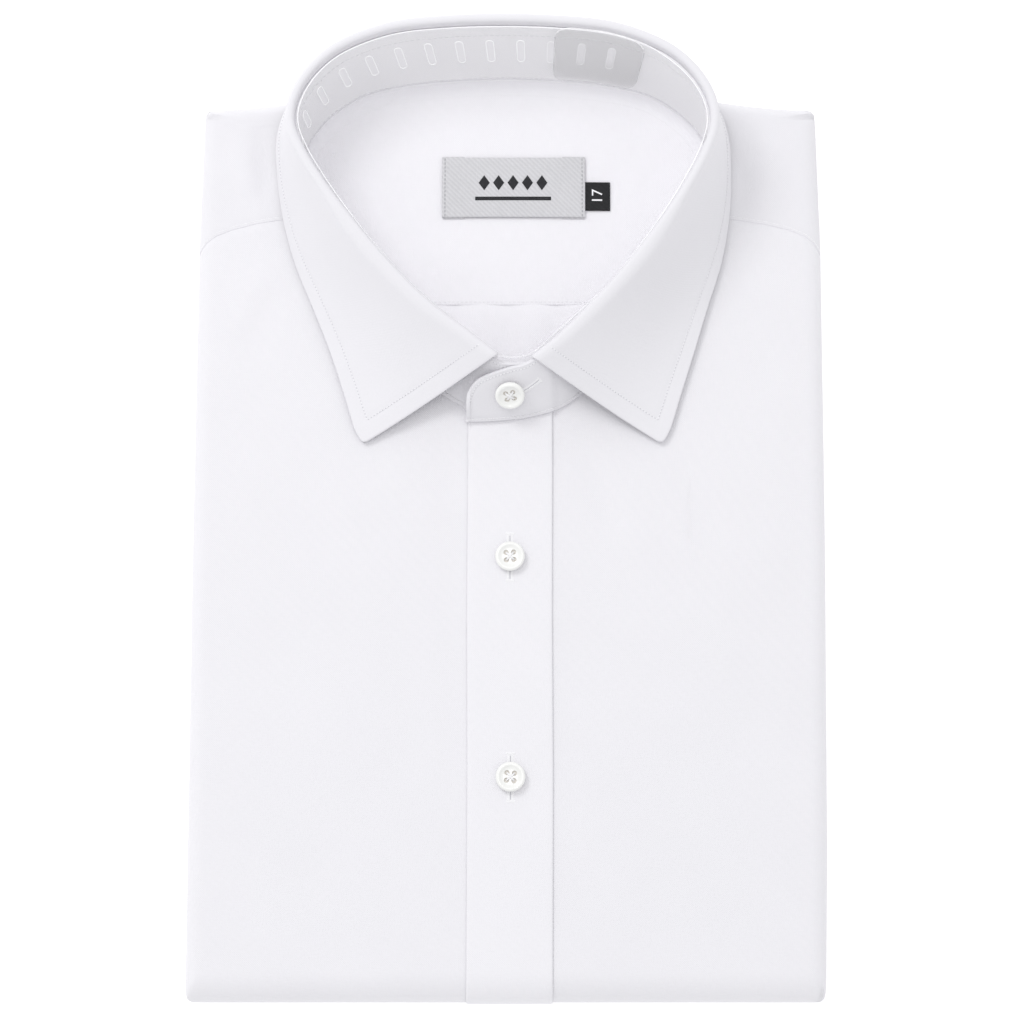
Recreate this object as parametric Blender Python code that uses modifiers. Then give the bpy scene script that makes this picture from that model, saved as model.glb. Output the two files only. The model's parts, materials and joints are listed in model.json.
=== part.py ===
"""A long-sleeved dress shirt, buttoned up and folded flat for the shop, front side up.

The shirt lies on its folded back. X runs across it, Y from the fold at the bottom to the collar, and Z up.
The origin is on the surface it lies on, below the middle of the folded shirt.

Every layer of cloth is a point on one folded form, lifted or lowered by its place in the stack. The function
cover() carries a point of the flat cloth onto that form and round its edges, so the fronts, the placket and
the yoke all turn the same corners. The collar is a ring of stations: the neck seam, the fold and the leaf's
edge at each one, joined by smooth curves.

Lengths are in millimetres until a mesh is made.
"""

import math

import bmesh
import bpy
import numpy as np

MM = 0.001

# Folded body
SHOULDER_Y = 162.0  # where the shoulder fold meets the sides
BACK_NECK_RISE = 16.0  # the shoulder fold climbs this much to the middle of the neck
BACK_NECK_SPREAD = 72.0
BOTTOM_Y = -188.5
SHOULDER_HEIGHT = 15.0
BODY_HEIGHT = 20.5
CROWN = 1.4  # the middle of the pile stands this much above its sides
NECK_LIFT = 2.6  # the collar pulls the cloth up round the neck seam
NECK_LIFT_REACH = 13.0
SIDE_EDGES = (  # y, left edge, right edge
    (162.0, -121.2, 121.3),
    (107.0, -122.9, 122.8),
    (-14.0, -123.6, 122.8),
    (-130.0, -123.9, 122.0),
    (-190.0, -124.1, 120.8),
)

# Rounded folds: how far each edge's curve reaches in plan, and how far round it the cloth goes
SIDE_ROLL = 6.5
BOTTOM_ROLL = 11.0
SHOULDER_ROLL = 5.0
ROLL_TURN = math.radians(152)
CORNER_SQUARENESS = 6.0
GROOVE_SHARE = 0.43  # height of the groove between the upper and the lower fold at a side
WRAP_END_HEIGHT = 2.8  # the bottom and shoulder folds end this far above the surface
WRAP_CLEARANCE = 1.4  # between the end of a wrapped edge and the layers inside it
CORNER_INSET = 2.4  # the hidden layers are drawn in this much more at the corners
SHOULDER_CORNER_INSET = 2.5  # and stop this far short of the yoke's corners

LOWER_LAYERS = (  # the two layers below the groove: reach as a share of the side roll, share of the way down
    (0.34, 0.0),
    (0.72, 0.06),
    (0.86, 0.24),
    (0.70, 0.43),
    (0.40, 0.49),
    (0.70, 0.55),
    (0.88, 0.75),
    (0.74, 0.94),
    (0.40, 1.0),
)

# Stack of layers, measured down from the outer face
CLOTH = 1.2
LAYER_GAP = 0.6
SEAM_GAP = 0.3
PLACKET_LIFT = CLOTH + 0.6  # the placket's face above the fronts' face
LINING_DEPTH = CLOTH + LAYER_GAP
CORE_DEPTH = LINING_DEPTH + CLOTH + LAYER_GAP

# Seams and trim
YOKE_SEAM = (  # distance from the middle, y of the seam on the front
    (60.0, 117.8),
    (82.0, 117.5),
    (92.0, 116.6),
    (101.0, 115.2),
    (109.5, 113.2),
    (116.0, 110.6),
    (120.0, 107.8),
    (123.5, 104.6),
    (150.0, 97.0),
)
YOKE_SHARES = (0.0, 0.1, 0.19, 0.26, 0.31, 0.34, 0.37, 0.42, 0.5, 0.58, 0.67, 0.75, 0.84, 0.92, 1.0)
YOKE_CORNER = 0.34  # share of the way from the yoke seam to the middle of the back where its corner lies
FRONT_MEETING_X = 4.0  # the fronts' edges meet under the placket
PLACKET_WIDTH = 33.0
INNER_YOKE_SEAM_Y = 82.8
LINING_MARGIN = 14.0  # the inner layers stop this far inside the folded edges
LINING_RISE = (96.0, 126.0)  # the inner yoke climbs to the neck seam between these lines
LABEL_SIZE = (56.0, 24.2)
LABEL_CENTRE = (1.4, 130.2)
TAB_SIZE = (9.8, 11.6)
TAB_CENTRE = (34.8, 126.7)
TRIM_WALL = 1.0

# Collar
STAND_WALL = 1.4
LEAF_WALL = 1.4
FOLD_RADIUS = 1.25  # middle of the cloth at the collar's fold
FOLD_TOP_GAP = 2.8  # the leaf starts this far above the top edge of the stand
SEAT = SEAM_GAP + 0.9 * STAND_WALL  # middle of the stand above the cloth it is sewn on
LAP_END_X = 40.0  # the two ends part over this much of the front, from here inwards
LAP_RUN = 18.0
FRONT_HALF_Y = 80.0  # the front half of the collar lies below this line
OVERLAP_SHIFT = 1.0  # the over end lies this far outside the neck line, the under end this far inside
SUPPORT_WALL = 0.7
SUPPORT_GAP = 0.6
SUPPORT_SHARE = (0.05, 0.95)  # part of the stand's height that the clear strip covers
SUPPORT_LAP = (0.475, 0.535)  # ends of the strip, as shares of the way round from the right front
SUPPORT_END_TRIM = (0.14, 0.04, 0.0)  # its rounded ends: share of the height taken off, step by step
SUPPORT_LAP_EASE = 2.2  # the outer layer eases in to the stand over 1 / 2.2 of the way round
COLLAR_SKEW = 3.9  # the collar sits a little askew: its back is this far to the left of its points
LEAF_CLEARANCE = 2.0  # middle of the leaf's edge above the cloth it lies on

# Half of the collar, from its front corner to the middle of the back
COLLAR = (
    # neck seam x, y; fold x, y, z; leaf edge x, y; fall at the fold; flare at the edge, degrees below level
    (6.2, 37.4, 6.4, 57.4, 42.2, 58.2, 26.4, 18, 14),
    (20.0, 41.9, 17.5, 66.0, 43.8, 61.6, 32.6, 25, 16),
    (37.0, 55.2, 32.2, 78.6, 45.6, 65.6, 45.6, 34, 18),
    (53.0, 72.6, 47.0, 94.2, 47.2, 71.2, 63.0, 44, 22),
    (66.0, 94.0, 59.8, 110.2, 48.6, 77.4, 81.0, 54, 28),
    (75.0, 115.4, 69.8, 124.4, 49.8, 83.6, 98.6, 64, 34),
    (80.6, 131.0, 77.2, 137.4, 50.6, 87.6, 117.0, 72, 42),
    (80.2, 143.0, 80.7, 148.4, 51.0, 89.2, 134.4, 78, 50),
    (75.0, 152.6, 78.6, 159.0, 51.0, 88.8, 148.6, 80, 56),
    (66.2, 160.8, 71.6, 169.4, 51.0, 84.4, 161.4, 80, 62),
    (54.4, 167.2, 60.4, 177.8, 51.0, 72.6, 172.2, 82, 74),
    (37.0, 170.9, 42.0, 184.4, 51.0, 51.0, 179.4, 84, 82),
    (18.0, 172.6, 20.5, 186.8, 51.0, 25.0, 183.4, 86, 86),
    (0.0, 173.2, 0.0, 187.4, 51.0, 0.0, 184.2, 86, 86),
)
# Height of the leaf's edge where it hangs behind the shoulders, by distance from the middle
LEAF_BACK_HEIGHT = (
    # x, z
    (0.0, 9.5),
    (25.0, 9.8),
    (51.0, 11.4),
    (72.6, 16.8),
    (84.4, 20.6),
    (88.8, 21.2),
)
HANGING_FROM_Y = 148.0  # behind this line the leaf's edge follows LEAF_BACK_HEIGHT
# The stand's ends past the leaf's corner: neck seam x, y and the height of the top, as a share of full height
OVER_END = (
    # x, neck y, share
    (-16.4, 35.8, 0.20),
    (-16.2, 35.8, 0.42),
    (-15.0, 35.8, 0.62),
    (-12.2, 35.8, 0.76),
    (-6.5, 36.0, 0.87),
    (0.0, 36.6, 0.94),
)
UNDER_END = (
    # x, neck y, share
    (18.6, 40.6, 0.30),
    (18.0, 40.4, 0.62),
    (15.0, 39.4, 0.82),
    (9.0, 38.0, 0.92),
    (0.0, 36.8, 0.96),
)

# Spacing of the points across and down the cloth
COLUMN_SPACING = 14.0
NECK_COLUMNS = (18.0, 74.0)  # columns of a front that end on the neck seam
SHOULDER_COLUMN = 90.0  # the first column that ends on the yoke seam
BODY_ROWS = 13
FOLD_STEPS = 6
CORNER_STEPS = 5
CORE_RINGS = (0.16, 0.33, 0.50, 0.66, 0.81, 0.93)
CORE_MIDDLE = (0.0, -12.0)

# Buttons
BUTTON_DIAMETER = 11.5
BUTTON_HEIGHT = 2.6
BUTTON_RIM = 1.5
BUTTON_DISH = 0.7
BUTTON_HOLE_DIAMETER = 1.7
BUTTON_HOLE_PITCH = 2.9
BUTTON_SHANK_GAP = 0.8
PLACKET_BUTTONS_Y = (-17.9, -103.0)
COLLAR_BUTTON_SHARE = 0.45  # up the height of the stand
COLLAR_BUTTON_FOOT = (0.0, 36.6)

# Finishes: colour, roughness
WHITE_CLOTH = ((0.86, 0.86, 0.90), 0.85)
COLLAR_CLOTH = ((0.88, 0.88, 0.91), 0.80)
WOVEN_LABEL = ((0.66, 0.66, 0.68), 0.70)
TAB_CLOTH = ((0.02, 0.02, 0.022), 0.75)
CLEAR_PLASTIC = ((0.85, 0.86, 0.88), 0.15)
BUTTON_SHELL = ((0.88, 0.87, 0.84), 0.20)


def clear_scene():
    for thing in list(bpy.data.objects):
        bpy.data.objects.remove(thing, do_unlink=True)


def collection(name):
    made = bpy.data.collections.new(name)
    bpy.context.scene.collection.children.link(made)
    return made


def material(name, finish):
    colour, roughness = finish
    made = bpy.data.materials.new(name)
    made.use_nodes = True
    shader = made.node_tree.nodes["Principled BSDF"]
    shader.inputs["Base Color"].default_value = (*colour, 1.0)
    shader.inputs["Roughness"].default_value = roughness
    shader.inputs["Metallic"].default_value = 0.0
    return made


def smoothstep(value):
    t = min(1.0, max(0.0, value))
    return t * t * (3.0 - 2.0 * t)


def column(table, index):
    return [row[index] for row in table]


def table_value(table, at, index=1):
    """Value of a table's column at a place, the table sorted by its first column either way."""
    places, values = column(table, 0), column(table, index)
    if places[0] > places[-1]:
        places, values = places[::-1], values[::-1]
    return float(np.interp(at, places, values))


def spline(points, samples):
    """Catmull-Rom curve through points, with the given number of samples between each pair."""
    points = np.asarray(points, float)
    ends = np.vstack([2 * points[0] - points[1], points, 2 * points[-1] - points[-2]])
    curve = []
    for k in range(1, len(ends) - 2):
        a, b, c, d = ends[k - 1], ends[k], ends[k + 1], ends[k + 2]
        bend, twist = 2 * a - 5 * b + 4 * c - d, 3 * b - a - 3 * c + d
        for t in np.linspace(0.0, 1.0, samples, endpoint=False):
            curve.append(0.5 * (2 * b + (c - a) * t + bend * t**2 + twist * t**3))
    curve.append(points[-1])
    return np.array(curve)


# The folded form


def shoulder_edge(x):
    return SHOULDER_Y + BACK_NECK_RISE * math.exp(-((x / BACK_NECK_SPREAD) ** 2))


def skew(y):
    """How far the collar has slid sideways at this distance up the shirt."""
    return 1.0 - COLLAR_SKEW * min(1.0, max(0.0, (y - 60.0) / 86.0))


def neck_line():
    """The neck seam in plan, from the right front round the back to the left front."""
    right = [(x + 0.4 * skew(y), y) for x, y in zip(column(COLLAR, 0), column(COLLAR, 1))]
    left = [(-x + 0.4 * skew(y), y) for x, y in zip(column(COLLAR, 0), column(COLLAR, 1))]
    return spline(right + left[-2::-1], 3)


NECK_LINE = neck_line()


def neck_distance(x, y):
    """Distance in plan from the neck seam."""
    start, step = NECK_LINE[:-1], np.diff(NECK_LINE, axis=0)
    along = np.clip(((np.array([x, y]) - start) * step).sum(1) / (step**2).sum(1), 0.0, 1.0)
    nearest = start + along[:, None] * step
    return float(np.hypot(nearest[:, 0] - x, nearest[:, 1] - y).min())


def pile_height(x, y):
    """Height of the folded pile, without the lift round the neck."""
    rise = smoothstep((150.0 - y) / 190.0)
    return SHOULDER_HEIGHT + (BODY_HEIGHT - SHOULDER_HEIGHT) * rise + CROWN * (1.0 - (x / 124.0) ** 2)


def neck_lift(x, y):
    return NECK_LIFT * math.exp(-((neck_distance(x, y) / NECK_LIFT_REACH) ** 2))


def face_height(x, y):
    """Height of the outer face of the fronts and the yoke."""
    return pile_height(x, y) + neck_lift(x, y)


def flat_limits(y, x=0.0):
    """Where the flat top ends at a height y: left, right, bottom, shoulder."""
    left = table_value(SIDE_EDGES, y, 1) + SIDE_ROLL
    right = table_value(SIDE_EDGES, y, 2) - SIDE_ROLL
    return left, right, BOTTOM_Y + BOTTOM_ROLL, shoulder_edge(x) - SHOULDER_ROLL


def cover(p, q, depth=0.0, lifted=True):
    """Point on the folded form, a depth below its outer face.

    p and q are places on the cloth: past the flat top they count on round the folds, in the same
    millimetres, until the cloth has turned by ROLL_TURN.
    """
    left, right, bottom, shoulder = flat_limits(q, p)
    x, y = min(max(p, left), right), min(max(q, bottom), shoulder)
    over_x, over_y = p - x, q - y
    end_roll = BOTTOM_ROLL if over_y < 0 else SHOULDER_ROLL
    u, v = abs(over_x) / SIDE_ROLL, abs(over_y) / end_roll
    power = u**CORNER_SQUARENESS + v**CORNER_SQUARENESS
    top = face_height(x, y) if lifted else pile_height(x, y)
    if power == 0.0:
        return np.array([x, y, top - depth])
    turn = power ** (1.0 / CORNER_SQUARENESS)
    sideways = u**CORNER_SQUARENESS / power
    low = sideways * GROOVE_SHARE * top + (1.0 - sideways) * WRAP_END_HEIGHT
    radius_z = (top - low) / (1.0 - math.cos(ROLL_TURN))
    angle = min(turn, ROLL_TURN)
    reach = math.sin(angle)
    return np.array(
        [
            x + math.copysign((SIDE_ROLL - depth) * reach * u / turn, over_x),
            y + math.copysign((end_roll - depth) * reach * v / turn, over_y),
            top - radius_z + (radius_z - depth) * math.cos(angle),
        ]
    )


# Meshes


def surface_object(name, grid, wall, finish, place, offset=-1.0):
    """A cloth wall on a grid of points, the outer face for offset -1 and the middle for offset 0."""
    mesh = bpy.data.meshes.new(name)
    form = bmesh.new()
    rows = [[form.verts.new([value * MM for value in point]) for point in row] for row in grid]
    for near, far in zip(rows, rows[1:]):
        for k in range(len(near) - 1):
            form.faces.new((near[k], far[k], far[k + 1], near[k + 1]))
    form.to_mesh(mesh)
    form.free()
    mesh.materials.append(finish)
    mesh.shade_smooth()
    thing = bpy.data.objects.new(name, mesh)
    place.objects.link(thing)
    solidify = thing.modifiers.new("wall", "SOLIDIFY")
    solidify.thickness = wall * MM
    solidify.offset = offset
    solidify.use_even_offset = True
    solidify.use_quality_normals = True
    return thing


def folded_steps(limit, roll):
    """Places round a fold, from the end of the flat top outwards."""
    return [limit + roll * ROLL_TURN * k / FOLD_STEPS for k in range(1, FOLD_STEPS + 1)]


def spread(start, end, spacing):
    count = max(1, round(abs(end - start) / spacing))
    return list(np.linspace(start, end, count + 1))


# Body


def yoke_seam_y(x):
    return table_value(YOKE_SEAM, abs(x))


def front_neck_y(x):
    """Height of the neck seam on the fronts."""
    half = len(NECK_LINE) // 3
    line = NECK_LINE[:half] if x > 0 else NECK_LINE[::-1][:half]
    return float(np.interp(abs(x), np.abs(line[:, 0]), line[:, 1]))


def front_columns(side):
    """Places across one front, from the meeting line under the placket round the side fold."""
    left, right = flat_limits(0.0)[:2]
    flat_end = right if side > 0 else -left
    start = FRONT_MEETING_X + 0.5 * SEAM_GAP * side
    columns = spread(*NECK_COLUMNS, COLUMN_SPACING) + spread(SHOULDER_COLUMN, flat_end, COLUMN_SPACING)
    flat = [start] + [side * value for value in columns]
    return flat + [side * value for value in folded_steps(flat_end, SIDE_ROLL)]


def front_top(p):
    seam = yoke_seam_y(p) - SEAM_GAP
    return min(seam, front_neck_y(p)) if abs(p) <= NECK_COLUMNS[1] else seam


def bottom_rows(top):
    """Places down a strip of cloth, from its top round the bottom fold."""
    flat_end = BOTTOM_Y + BOTTOM_ROLL
    folded = folded_steps(-flat_end, BOTTOM_ROLL)
    return list(np.linspace(top, flat_end, BODY_ROWS)) + [-value for value in folded]


def make_front(name, side, finish, place):
    grid = [[cover(p, q) for q in bottom_rows(front_top(p))] for p in front_columns(side)]
    if side < 0:
        grid = grid[::-1]
    return surface_object(name, [row[::-1] for row in grid], CLOTH, finish, place)


def make_placket(finish, place):
    edges = spread(-0.5 * PLACKET_WIDTH, 0.5 * PLACKET_WIDTH, 8.0)
    grid = [[cover(p, q, -PLACKET_LIFT) for q in bottom_rows(front_neck_y(p) + 0.6)[::-1]] for p in edges]
    return surface_object("placket", grid, CLOTH, finish, place)


def yoke_neck(side):
    """The neck seam from the yoke seam on one side to the middle of the back."""
    middle = len(NECK_LINE) // 2
    line = NECK_LINE[: middle + 1] if side > 0 else NECK_LINE[middle:][::-1]
    return line[line[:, 1] > YOKE_SEAM[0][1] - 2.0]


def yoke_row(side, share, flat_x):
    """One line of the yoke, from the neck seam out over the shoulder and round the fold."""
    neck = yoke_neck(side)
    run = np.concatenate([[0.0], np.cumsum(np.hypot(*np.diff(neck, axis=0).T))])
    at = share * run[-1]
    start = np.array([np.interp(at, run, neck[:, 0]), np.interp(at, run, neck[:, 1])])
    wrap_x = flat_x + SIDE_ROLL * ROLL_TURN
    if share <= YOKE_CORNER:
        up = share / YOKE_CORNER
        top = shoulder_edge(wrap_x) - SHOULDER_ROLL + SHOULDER_ROLL * ROLL_TURN
        end = np.array([side * wrap_x, (1.0 - up) * yoke_seam_y(wrap_x) + up * top])
    else:
        x = side * wrap_x * (1.0 - share) / (1.0 - YOKE_CORNER)
        end = np.array([x, shoulder_edge(x) - SHOULDER_ROLL + SHOULDER_ROLL * ROLL_TURN])
    row = []
    for t in fold_shares(start, end, side * flat_x):
        x, y = start + (end - start) * t
        if share == 0.0:
            y = yoke_seam_y(x) + SEAM_GAP
        row.append(cover(x, y))
    return row


def fold_shares(start, end, flat_x):
    """Shares of the way along a line: four steps over the flat top, then seven round the fold."""
    across = (flat_x - start[0]) / (end[0] - start[0]) if abs(end[0]) > abs(flat_x) else 1.0
    high = shoulder_edge(end[0]) - SHOULDER_ROLL
    upward = (high - start[1]) / (end[1] - start[1]) if end[1] > high else 1.0
    flat = max(0.1, min(across, upward))
    return [flat * k / 4 for k in range(4)] + [flat + (1.0 - flat) * k / 7 for k in range(8)]


def make_yoke(finish, place):
    """The outer yoke, from the neck seam out over the shoulders and down behind them."""
    left, right = flat_limits(SHOULDER_Y)[:2]
    grid = [yoke_row(1, share, right) for share in YOKE_SHARES]
    grid += [yoke_row(-1, share, -left) for share in YOKE_SHARES[-2::-1]]
    return surface_object("yoke", grid[::-1], CLOTH, finish, place)


def make_inner_layer(name, bottom, top, rows, lifted, finish, place):
    """A flat inner layer, hidden but for what shows through the neck."""
    left, right = flat_limits(0.5 * (bottom + top))[:2]
    across = spread(left - SIDE_ROLL + LINING_MARGIN, right + SIDE_ROLL - LINING_MARGIN, 16.0)
    grid = []
    for x in across:
        end = min(top, shoulder_edge(x) - SHOULDER_ROLL - 1.0)
        grid.append([[x, y, inner_height(x, y, lifted)] for y in np.linspace(bottom, end, rows)])
    return surface_object(name, grid, CLOTH, finish, place)


def inner_height(x, y, lifted):
    """Height of the inner layer's upper face. The inner yoke rises to the neck seam at the back."""
    height = pile_height(x, y) - LINING_DEPTH
    if lifted:
        height += neck_lift(x, y) * smoothstep((y - LINING_RISE[0]) / (LINING_RISE[1] - LINING_RISE[0]))
    return height


def make_patch(name, size, centre, finish, place):
    """A flat piece of trim sewn on the inner yoke."""
    across = spread(centre[0] - 0.5 * size[0], centre[0] + 0.5 * size[0], 9.0)
    up = spread(centre[1] - 0.5 * size[1], centre[1] + 0.5 * size[1], 8.0)
    lift = SEAM_GAP + TRIM_WALL
    grid = [[[x, y, inner_height(x, y, True) + lift] for y in up] for x in across]
    return surface_object(name, grid, TRIM_WALL, finish, place)


# Hidden layers


def core_stations():
    """Places round the flat top: the point itself, and the way out of it, sideways and lengthways."""
    stations = []
    corner = [math.radians(90 * k / CORNER_STEPS) for k in range(1, CORNER_STEPS)]
    bottom = BOTTOM_Y + BOTTOM_ROLL
    high = SHOULDER_Y - SHOULDER_ROLL - SHOULDER_CORNER_INSET

    def edge(x, y):
        left, right, low, top = flat_limits(y, x)
        return min(max(x, left), right), min(max(y, low), top)

    side_y = spread(bottom, high, 28.0)
    top_x = spread(edge(200.0, SHOULDER_Y)[0], edge(-200.0, SHOULDER_Y)[0], 20.0)
    low_x = spread(edge(-200.0, bottom)[0], edge(200.0, bottom)[0], 20.0)
    for y in side_y:
        stations.append((*edge(200.0, y), 1.0, 0.0))
    for angle in corner:
        stations.append((*edge(200.0, high), *square_way(angle)))
    for x in top_x:
        stations.append((x, shoulder_edge(x) - SHOULDER_ROLL, 0.0, 1.0))
    for angle in corner:
        out, up = square_way(math.pi / 2 - angle)
        stations.append((*edge(-200.0, high), -out, up))
    for y in side_y[::-1]:
        stations.append((*edge(-200.0, y), -1.0, 0.0))
    for angle in corner:
        out, up = square_way(angle)
        stations.append((*edge(-200.0, bottom), -out, -up))
    for x in low_x:
        stations.append((x, bottom, 0.0, -1.0))
    for angle in corner:
        out, up = square_way(math.pi / 2 - angle)
        stations.append((*edge(200.0, bottom), out, -up))
    return stations


def square_way(angle):
    """A direction on the rounded square that the corners follow."""
    out, up = math.cos(angle), math.sin(angle)
    size = (out**CORNER_SQUARENESS + up**CORNER_SQUARENESS) ** (1.0 / CORNER_SQUARENESS)
    return out / size, up / size


def core_profile(x, y, out, up):
    """The edge of the hidden layers at one station, from the flat top to the flat underside."""
    top = pile_height(x, y)
    sideways = abs(out) ** CORNER_SQUARENESS
    end_roll = BOTTOM_ROLL if up < 0 else SHOULDER_ROLL
    inset = CORE_DEPTH + CORNER_INSET * 4.0 * sideways * (1.0 - sideways)
    groove = GROOVE_SHARE * top
    low = sideways * groove + (1.0 - sideways) * WRAP_END_HEIGHT
    radius_z = (top - low) / (1.0 - math.cos(ROLL_TURN))
    profile = []
    for k in range(1, FOLD_STEPS + 1):
        angle = ROLL_TURN * k / FOLD_STEPS
        reach = math.sin(angle)
        profile.append(
            (
                x + (SIDE_ROLL - inset) * reach * out,
                y + (end_roll - inset) * reach * up,
                top - radius_z + (radius_z - inset) * math.cos(angle) - (inset - CORE_DEPTH),
            )
        )
    upper_end = profile[-1][2]
    end_out = math.sin(ROLL_TURN) * (end_roll - CLOTH) - WRAP_CLEARANCE
    for side_reach, side_drop in LOWER_LAYERS:
        side_out = SIDE_ROLL * side_reach
        z = (sideways * (groove - 0.5) + (1.0 - sideways) * (upper_end - 0.4)) * (1.0 - side_drop)
        reach_x = (sideways * side_out + (1.0 - sideways) * end_out) * out
        reach_y = end_out * up
        profile.append((x + reach_x, y + reach_y, z))
    return profile


def make_hidden_layers(finish, place):
    """Sleeves, sides, back and tails in one pile, layered at its side edges and flat below."""
    profiles = [core_profile(*station) for station in core_stations()]
    count = len(profiles)
    middle = np.array(CORE_MIDDLE)
    rings = []
    for share in CORE_RINGS:
        ring = []
        for profile in profiles:
            x, y = middle + (np.array(profile[0][:2]) - middle) * share
            ring.append((x, y, pile_height(x, y) - CORE_DEPTH))
        rings.append(ring)
    for k in range(len(profiles[0])):
        rings.append([profile[k] for profile in profiles])
    rings.append([(*(middle + (np.array(profile[-1][:2]) - middle) * 0.5), 0.0) for profile in profiles])
    mesh = bpy.data.meshes.new("hidden_layers")
    form = bmesh.new()
    loops = [[form.verts.new([value * MM for value in point]) for point in ring] for ring in rings]
    for upper, lower in zip(loops, loops[1:]):
        for k in range(count):
            n = (k + 1) % count
            form.faces.new((upper[k], lower[k], lower[n], upper[n]))
    for loop, height in ((loops[0], pile_height(*middle) - CORE_DEPTH), (loops[-1], 0.0)):
        hub = form.verts.new((middle[0] * MM, middle[1] * MM, height * MM))
        for k in range(count):
            form.faces.new((hub, loop[k], loop[(k + 1) % count]))
    bmesh.ops.recalc_face_normals(form, faces=form.faces)
    form.to_mesh(mesh)
    form.free()
    mesh.materials.append(finish)
    thing = bpy.data.objects.new("hidden_layers", mesh)
    place.objects.link(thing)
    return thing


# Collar


def seat_height(x, y):
    """Middle of the stand's lower edge, above the fronts, or above the placket between them."""
    placket = PLACKET_LIFT * smoothstep((30.0 - abs(x)) / 10.0) if y < 60.0 else 0.0
    return face_height(x, y) + placket + SEAT


def front_lap(side, x, y):
    """How the stand's ends part at the front: 1 on the over side, -1 on the under side, 0 further back."""
    return side * smoothstep((LAP_END_X - x) / LAP_RUN) if y < FRONT_HALF_Y else 0.0


def stand_rows():
    """The stand from its over end, round the back, to its under end: lower edge, top edge, shift."""
    corner = COLLAR[0]
    full = np.array([0.0, corner[3] - corner[1], corner[4] - seat_height(corner[0], corner[1])])
    rows = []
    for x, y, share in OVER_END:
        foot = np.array([x, y, seat_height(x, y)])
        rows.append((foot, foot + full * share, 1.0))
    for side, table in ((1, COLLAR), (-1, COLLAR[-2::-1])):
        for row in table:
            foot_x = side * row[0] + 0.4 * skew(row[1])
            foot = np.array([foot_x, row[1], seat_height(foot_x, row[1])])
            top = np.array([side * row[2] + skew(row[3]), row[3], row[4]])
            rows.append((foot, top, front_lap(side, row[0], row[1])))
    for x, y, share in UNDER_END[::-1]:
        foot = np.array([x, y, seat_height(x, y)])
        top = foot + full * share
        if x > 0.0:
            top[0] += 0.5 * (x / 18.0)
        rows.append((foot, top, -1.0))
    return rows


def stand_curves(samples):
    """Smooth lower edge, top edge and outward shift of the stand."""
    rows = stand_rows()
    packed = np.array([[*foot, *top, lap] for foot, top, lap in rows])
    curve = spline(packed, samples)
    return curve[:, :3], curve[:, 3:6], curve[:, 6]


def outward(feet, tops):
    """Unit vectors out of the collar, square to the stand."""
    along = np.gradient(feet + tops, axis=0)
    rise = tops - feet
    out = np.cross(along, rise)
    return out / np.linalg.norm(out, axis=1)[:, None]


def make_stand(finish, place):
    feet, tops, lap = stand_curves(2)
    out = outward(feet, tops)
    height = np.linalg.norm(tops - feet, axis=1)
    shift = out * (OVERLAP_SHIFT * lap)[:, None]
    grid = []
    for foot, top, full, move in zip(feet, tops, height, shift):
        usable = max(0.2, 1.0 - FOLD_TOP_GAP / full)
        grid.append([foot + (top - foot) * usable * t + move for t in (0.0, 0.34, 0.67, 1.0)])
    return surface_object("collar_stand", grid, STAND_WALL, finish, place, offset=0.0)


def leaf_edge(x, y):
    """Middle of the leaf's edge, above the cloth, or hanging behind the shoulder fold."""
    lying = face_height(x, y) + LEAF_CLEARANCE
    hanging = table_value(LEAF_BACK_HEIGHT, abs(x))
    return lying if y < HANGING_FROM_Y else hanging


def leaf_rows():
    """Stations of the leaf from its right point to its left point."""
    rows = []
    for side, table in ((1, COLLAR), (-1, COLLAR[-2::-1])):
        for row in table:
            fold = (side * row[2] + skew(row[3]), row[3], row[4])
            edge_x = side * row[5] + skew(row[6])
            lap = front_lap(side, row[0], row[1])
            rows.append((*fold, edge_x, row[6], leaf_edge(edge_x, row[6]), row[7], row[8], lap))
    return np.array(rows)


def leaf_line(fold, edge, out, fall, flare):
    """One line of the leaf: up and over the fold, then down in a curve that flattens out."""
    up = np.array([0.0, 0.0, 1.0])
    centre = fold + out * FOLD_RADIUS
    turn = math.radians(90.0 + fall)
    line = []
    for k in range(4):
        angle = math.pi - turn * k / 3
        line.append(centre + FOLD_RADIUS * (math.cos(angle) * out + math.sin(angle) * up))
    start = line[-1]
    level = np.array([edge[0] - start[0], edge[1] - start[1], 0.0])
    hanging = smoothstep((flare - 60.0) / 20.0)
    level = (1.0 - hanging) * level / np.linalg.norm(level) + hanging * out
    length = np.linalg.norm(edge - start)
    leave = level * math.cos(math.radians(fall)) - up * math.sin(math.radians(fall))
    arrive = level * math.cos(math.radians(flare)) - up * math.sin(math.radians(flare))
    a, b, c, d = start, start + leave * 0.36 * length, edge - arrive * 0.36 * length, edge
    for k in range(1, 7):
        t = k / 6
        line.append((1 - t) ** 3 * a + 3 * t * (1 - t) ** 2 * b + 3 * t * t * (1 - t) * c + t**3 * d)
    return line


def make_leaf(finish, place):
    curve = spline(leaf_rows(), 2)
    along = np.gradient(curve[:, :2], axis=0)
    grid = []
    for row, (step_x, step_y) in zip(curve, along):
        square = np.array([step_y, -step_x, 0.0])
        toward = np.array([row[3] - row[0], row[4] - row[1], 0.0])
        share = smoothstep((row[1] - 60.0) / 60.0)
        out = share * square / np.linalg.norm(square) + (1.0 - share) * toward / np.linalg.norm(toward)
        out /= np.linalg.norm(out)
        fold = row[:3] + OVERLAP_SHIFT * row[8] * out
        grid.append(leaf_line(fold, row[3:6], out, row[6], row[7]))
    return surface_object("collar_leaf", grid, LEAF_WALL, finish, place, offset=0.0)


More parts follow.
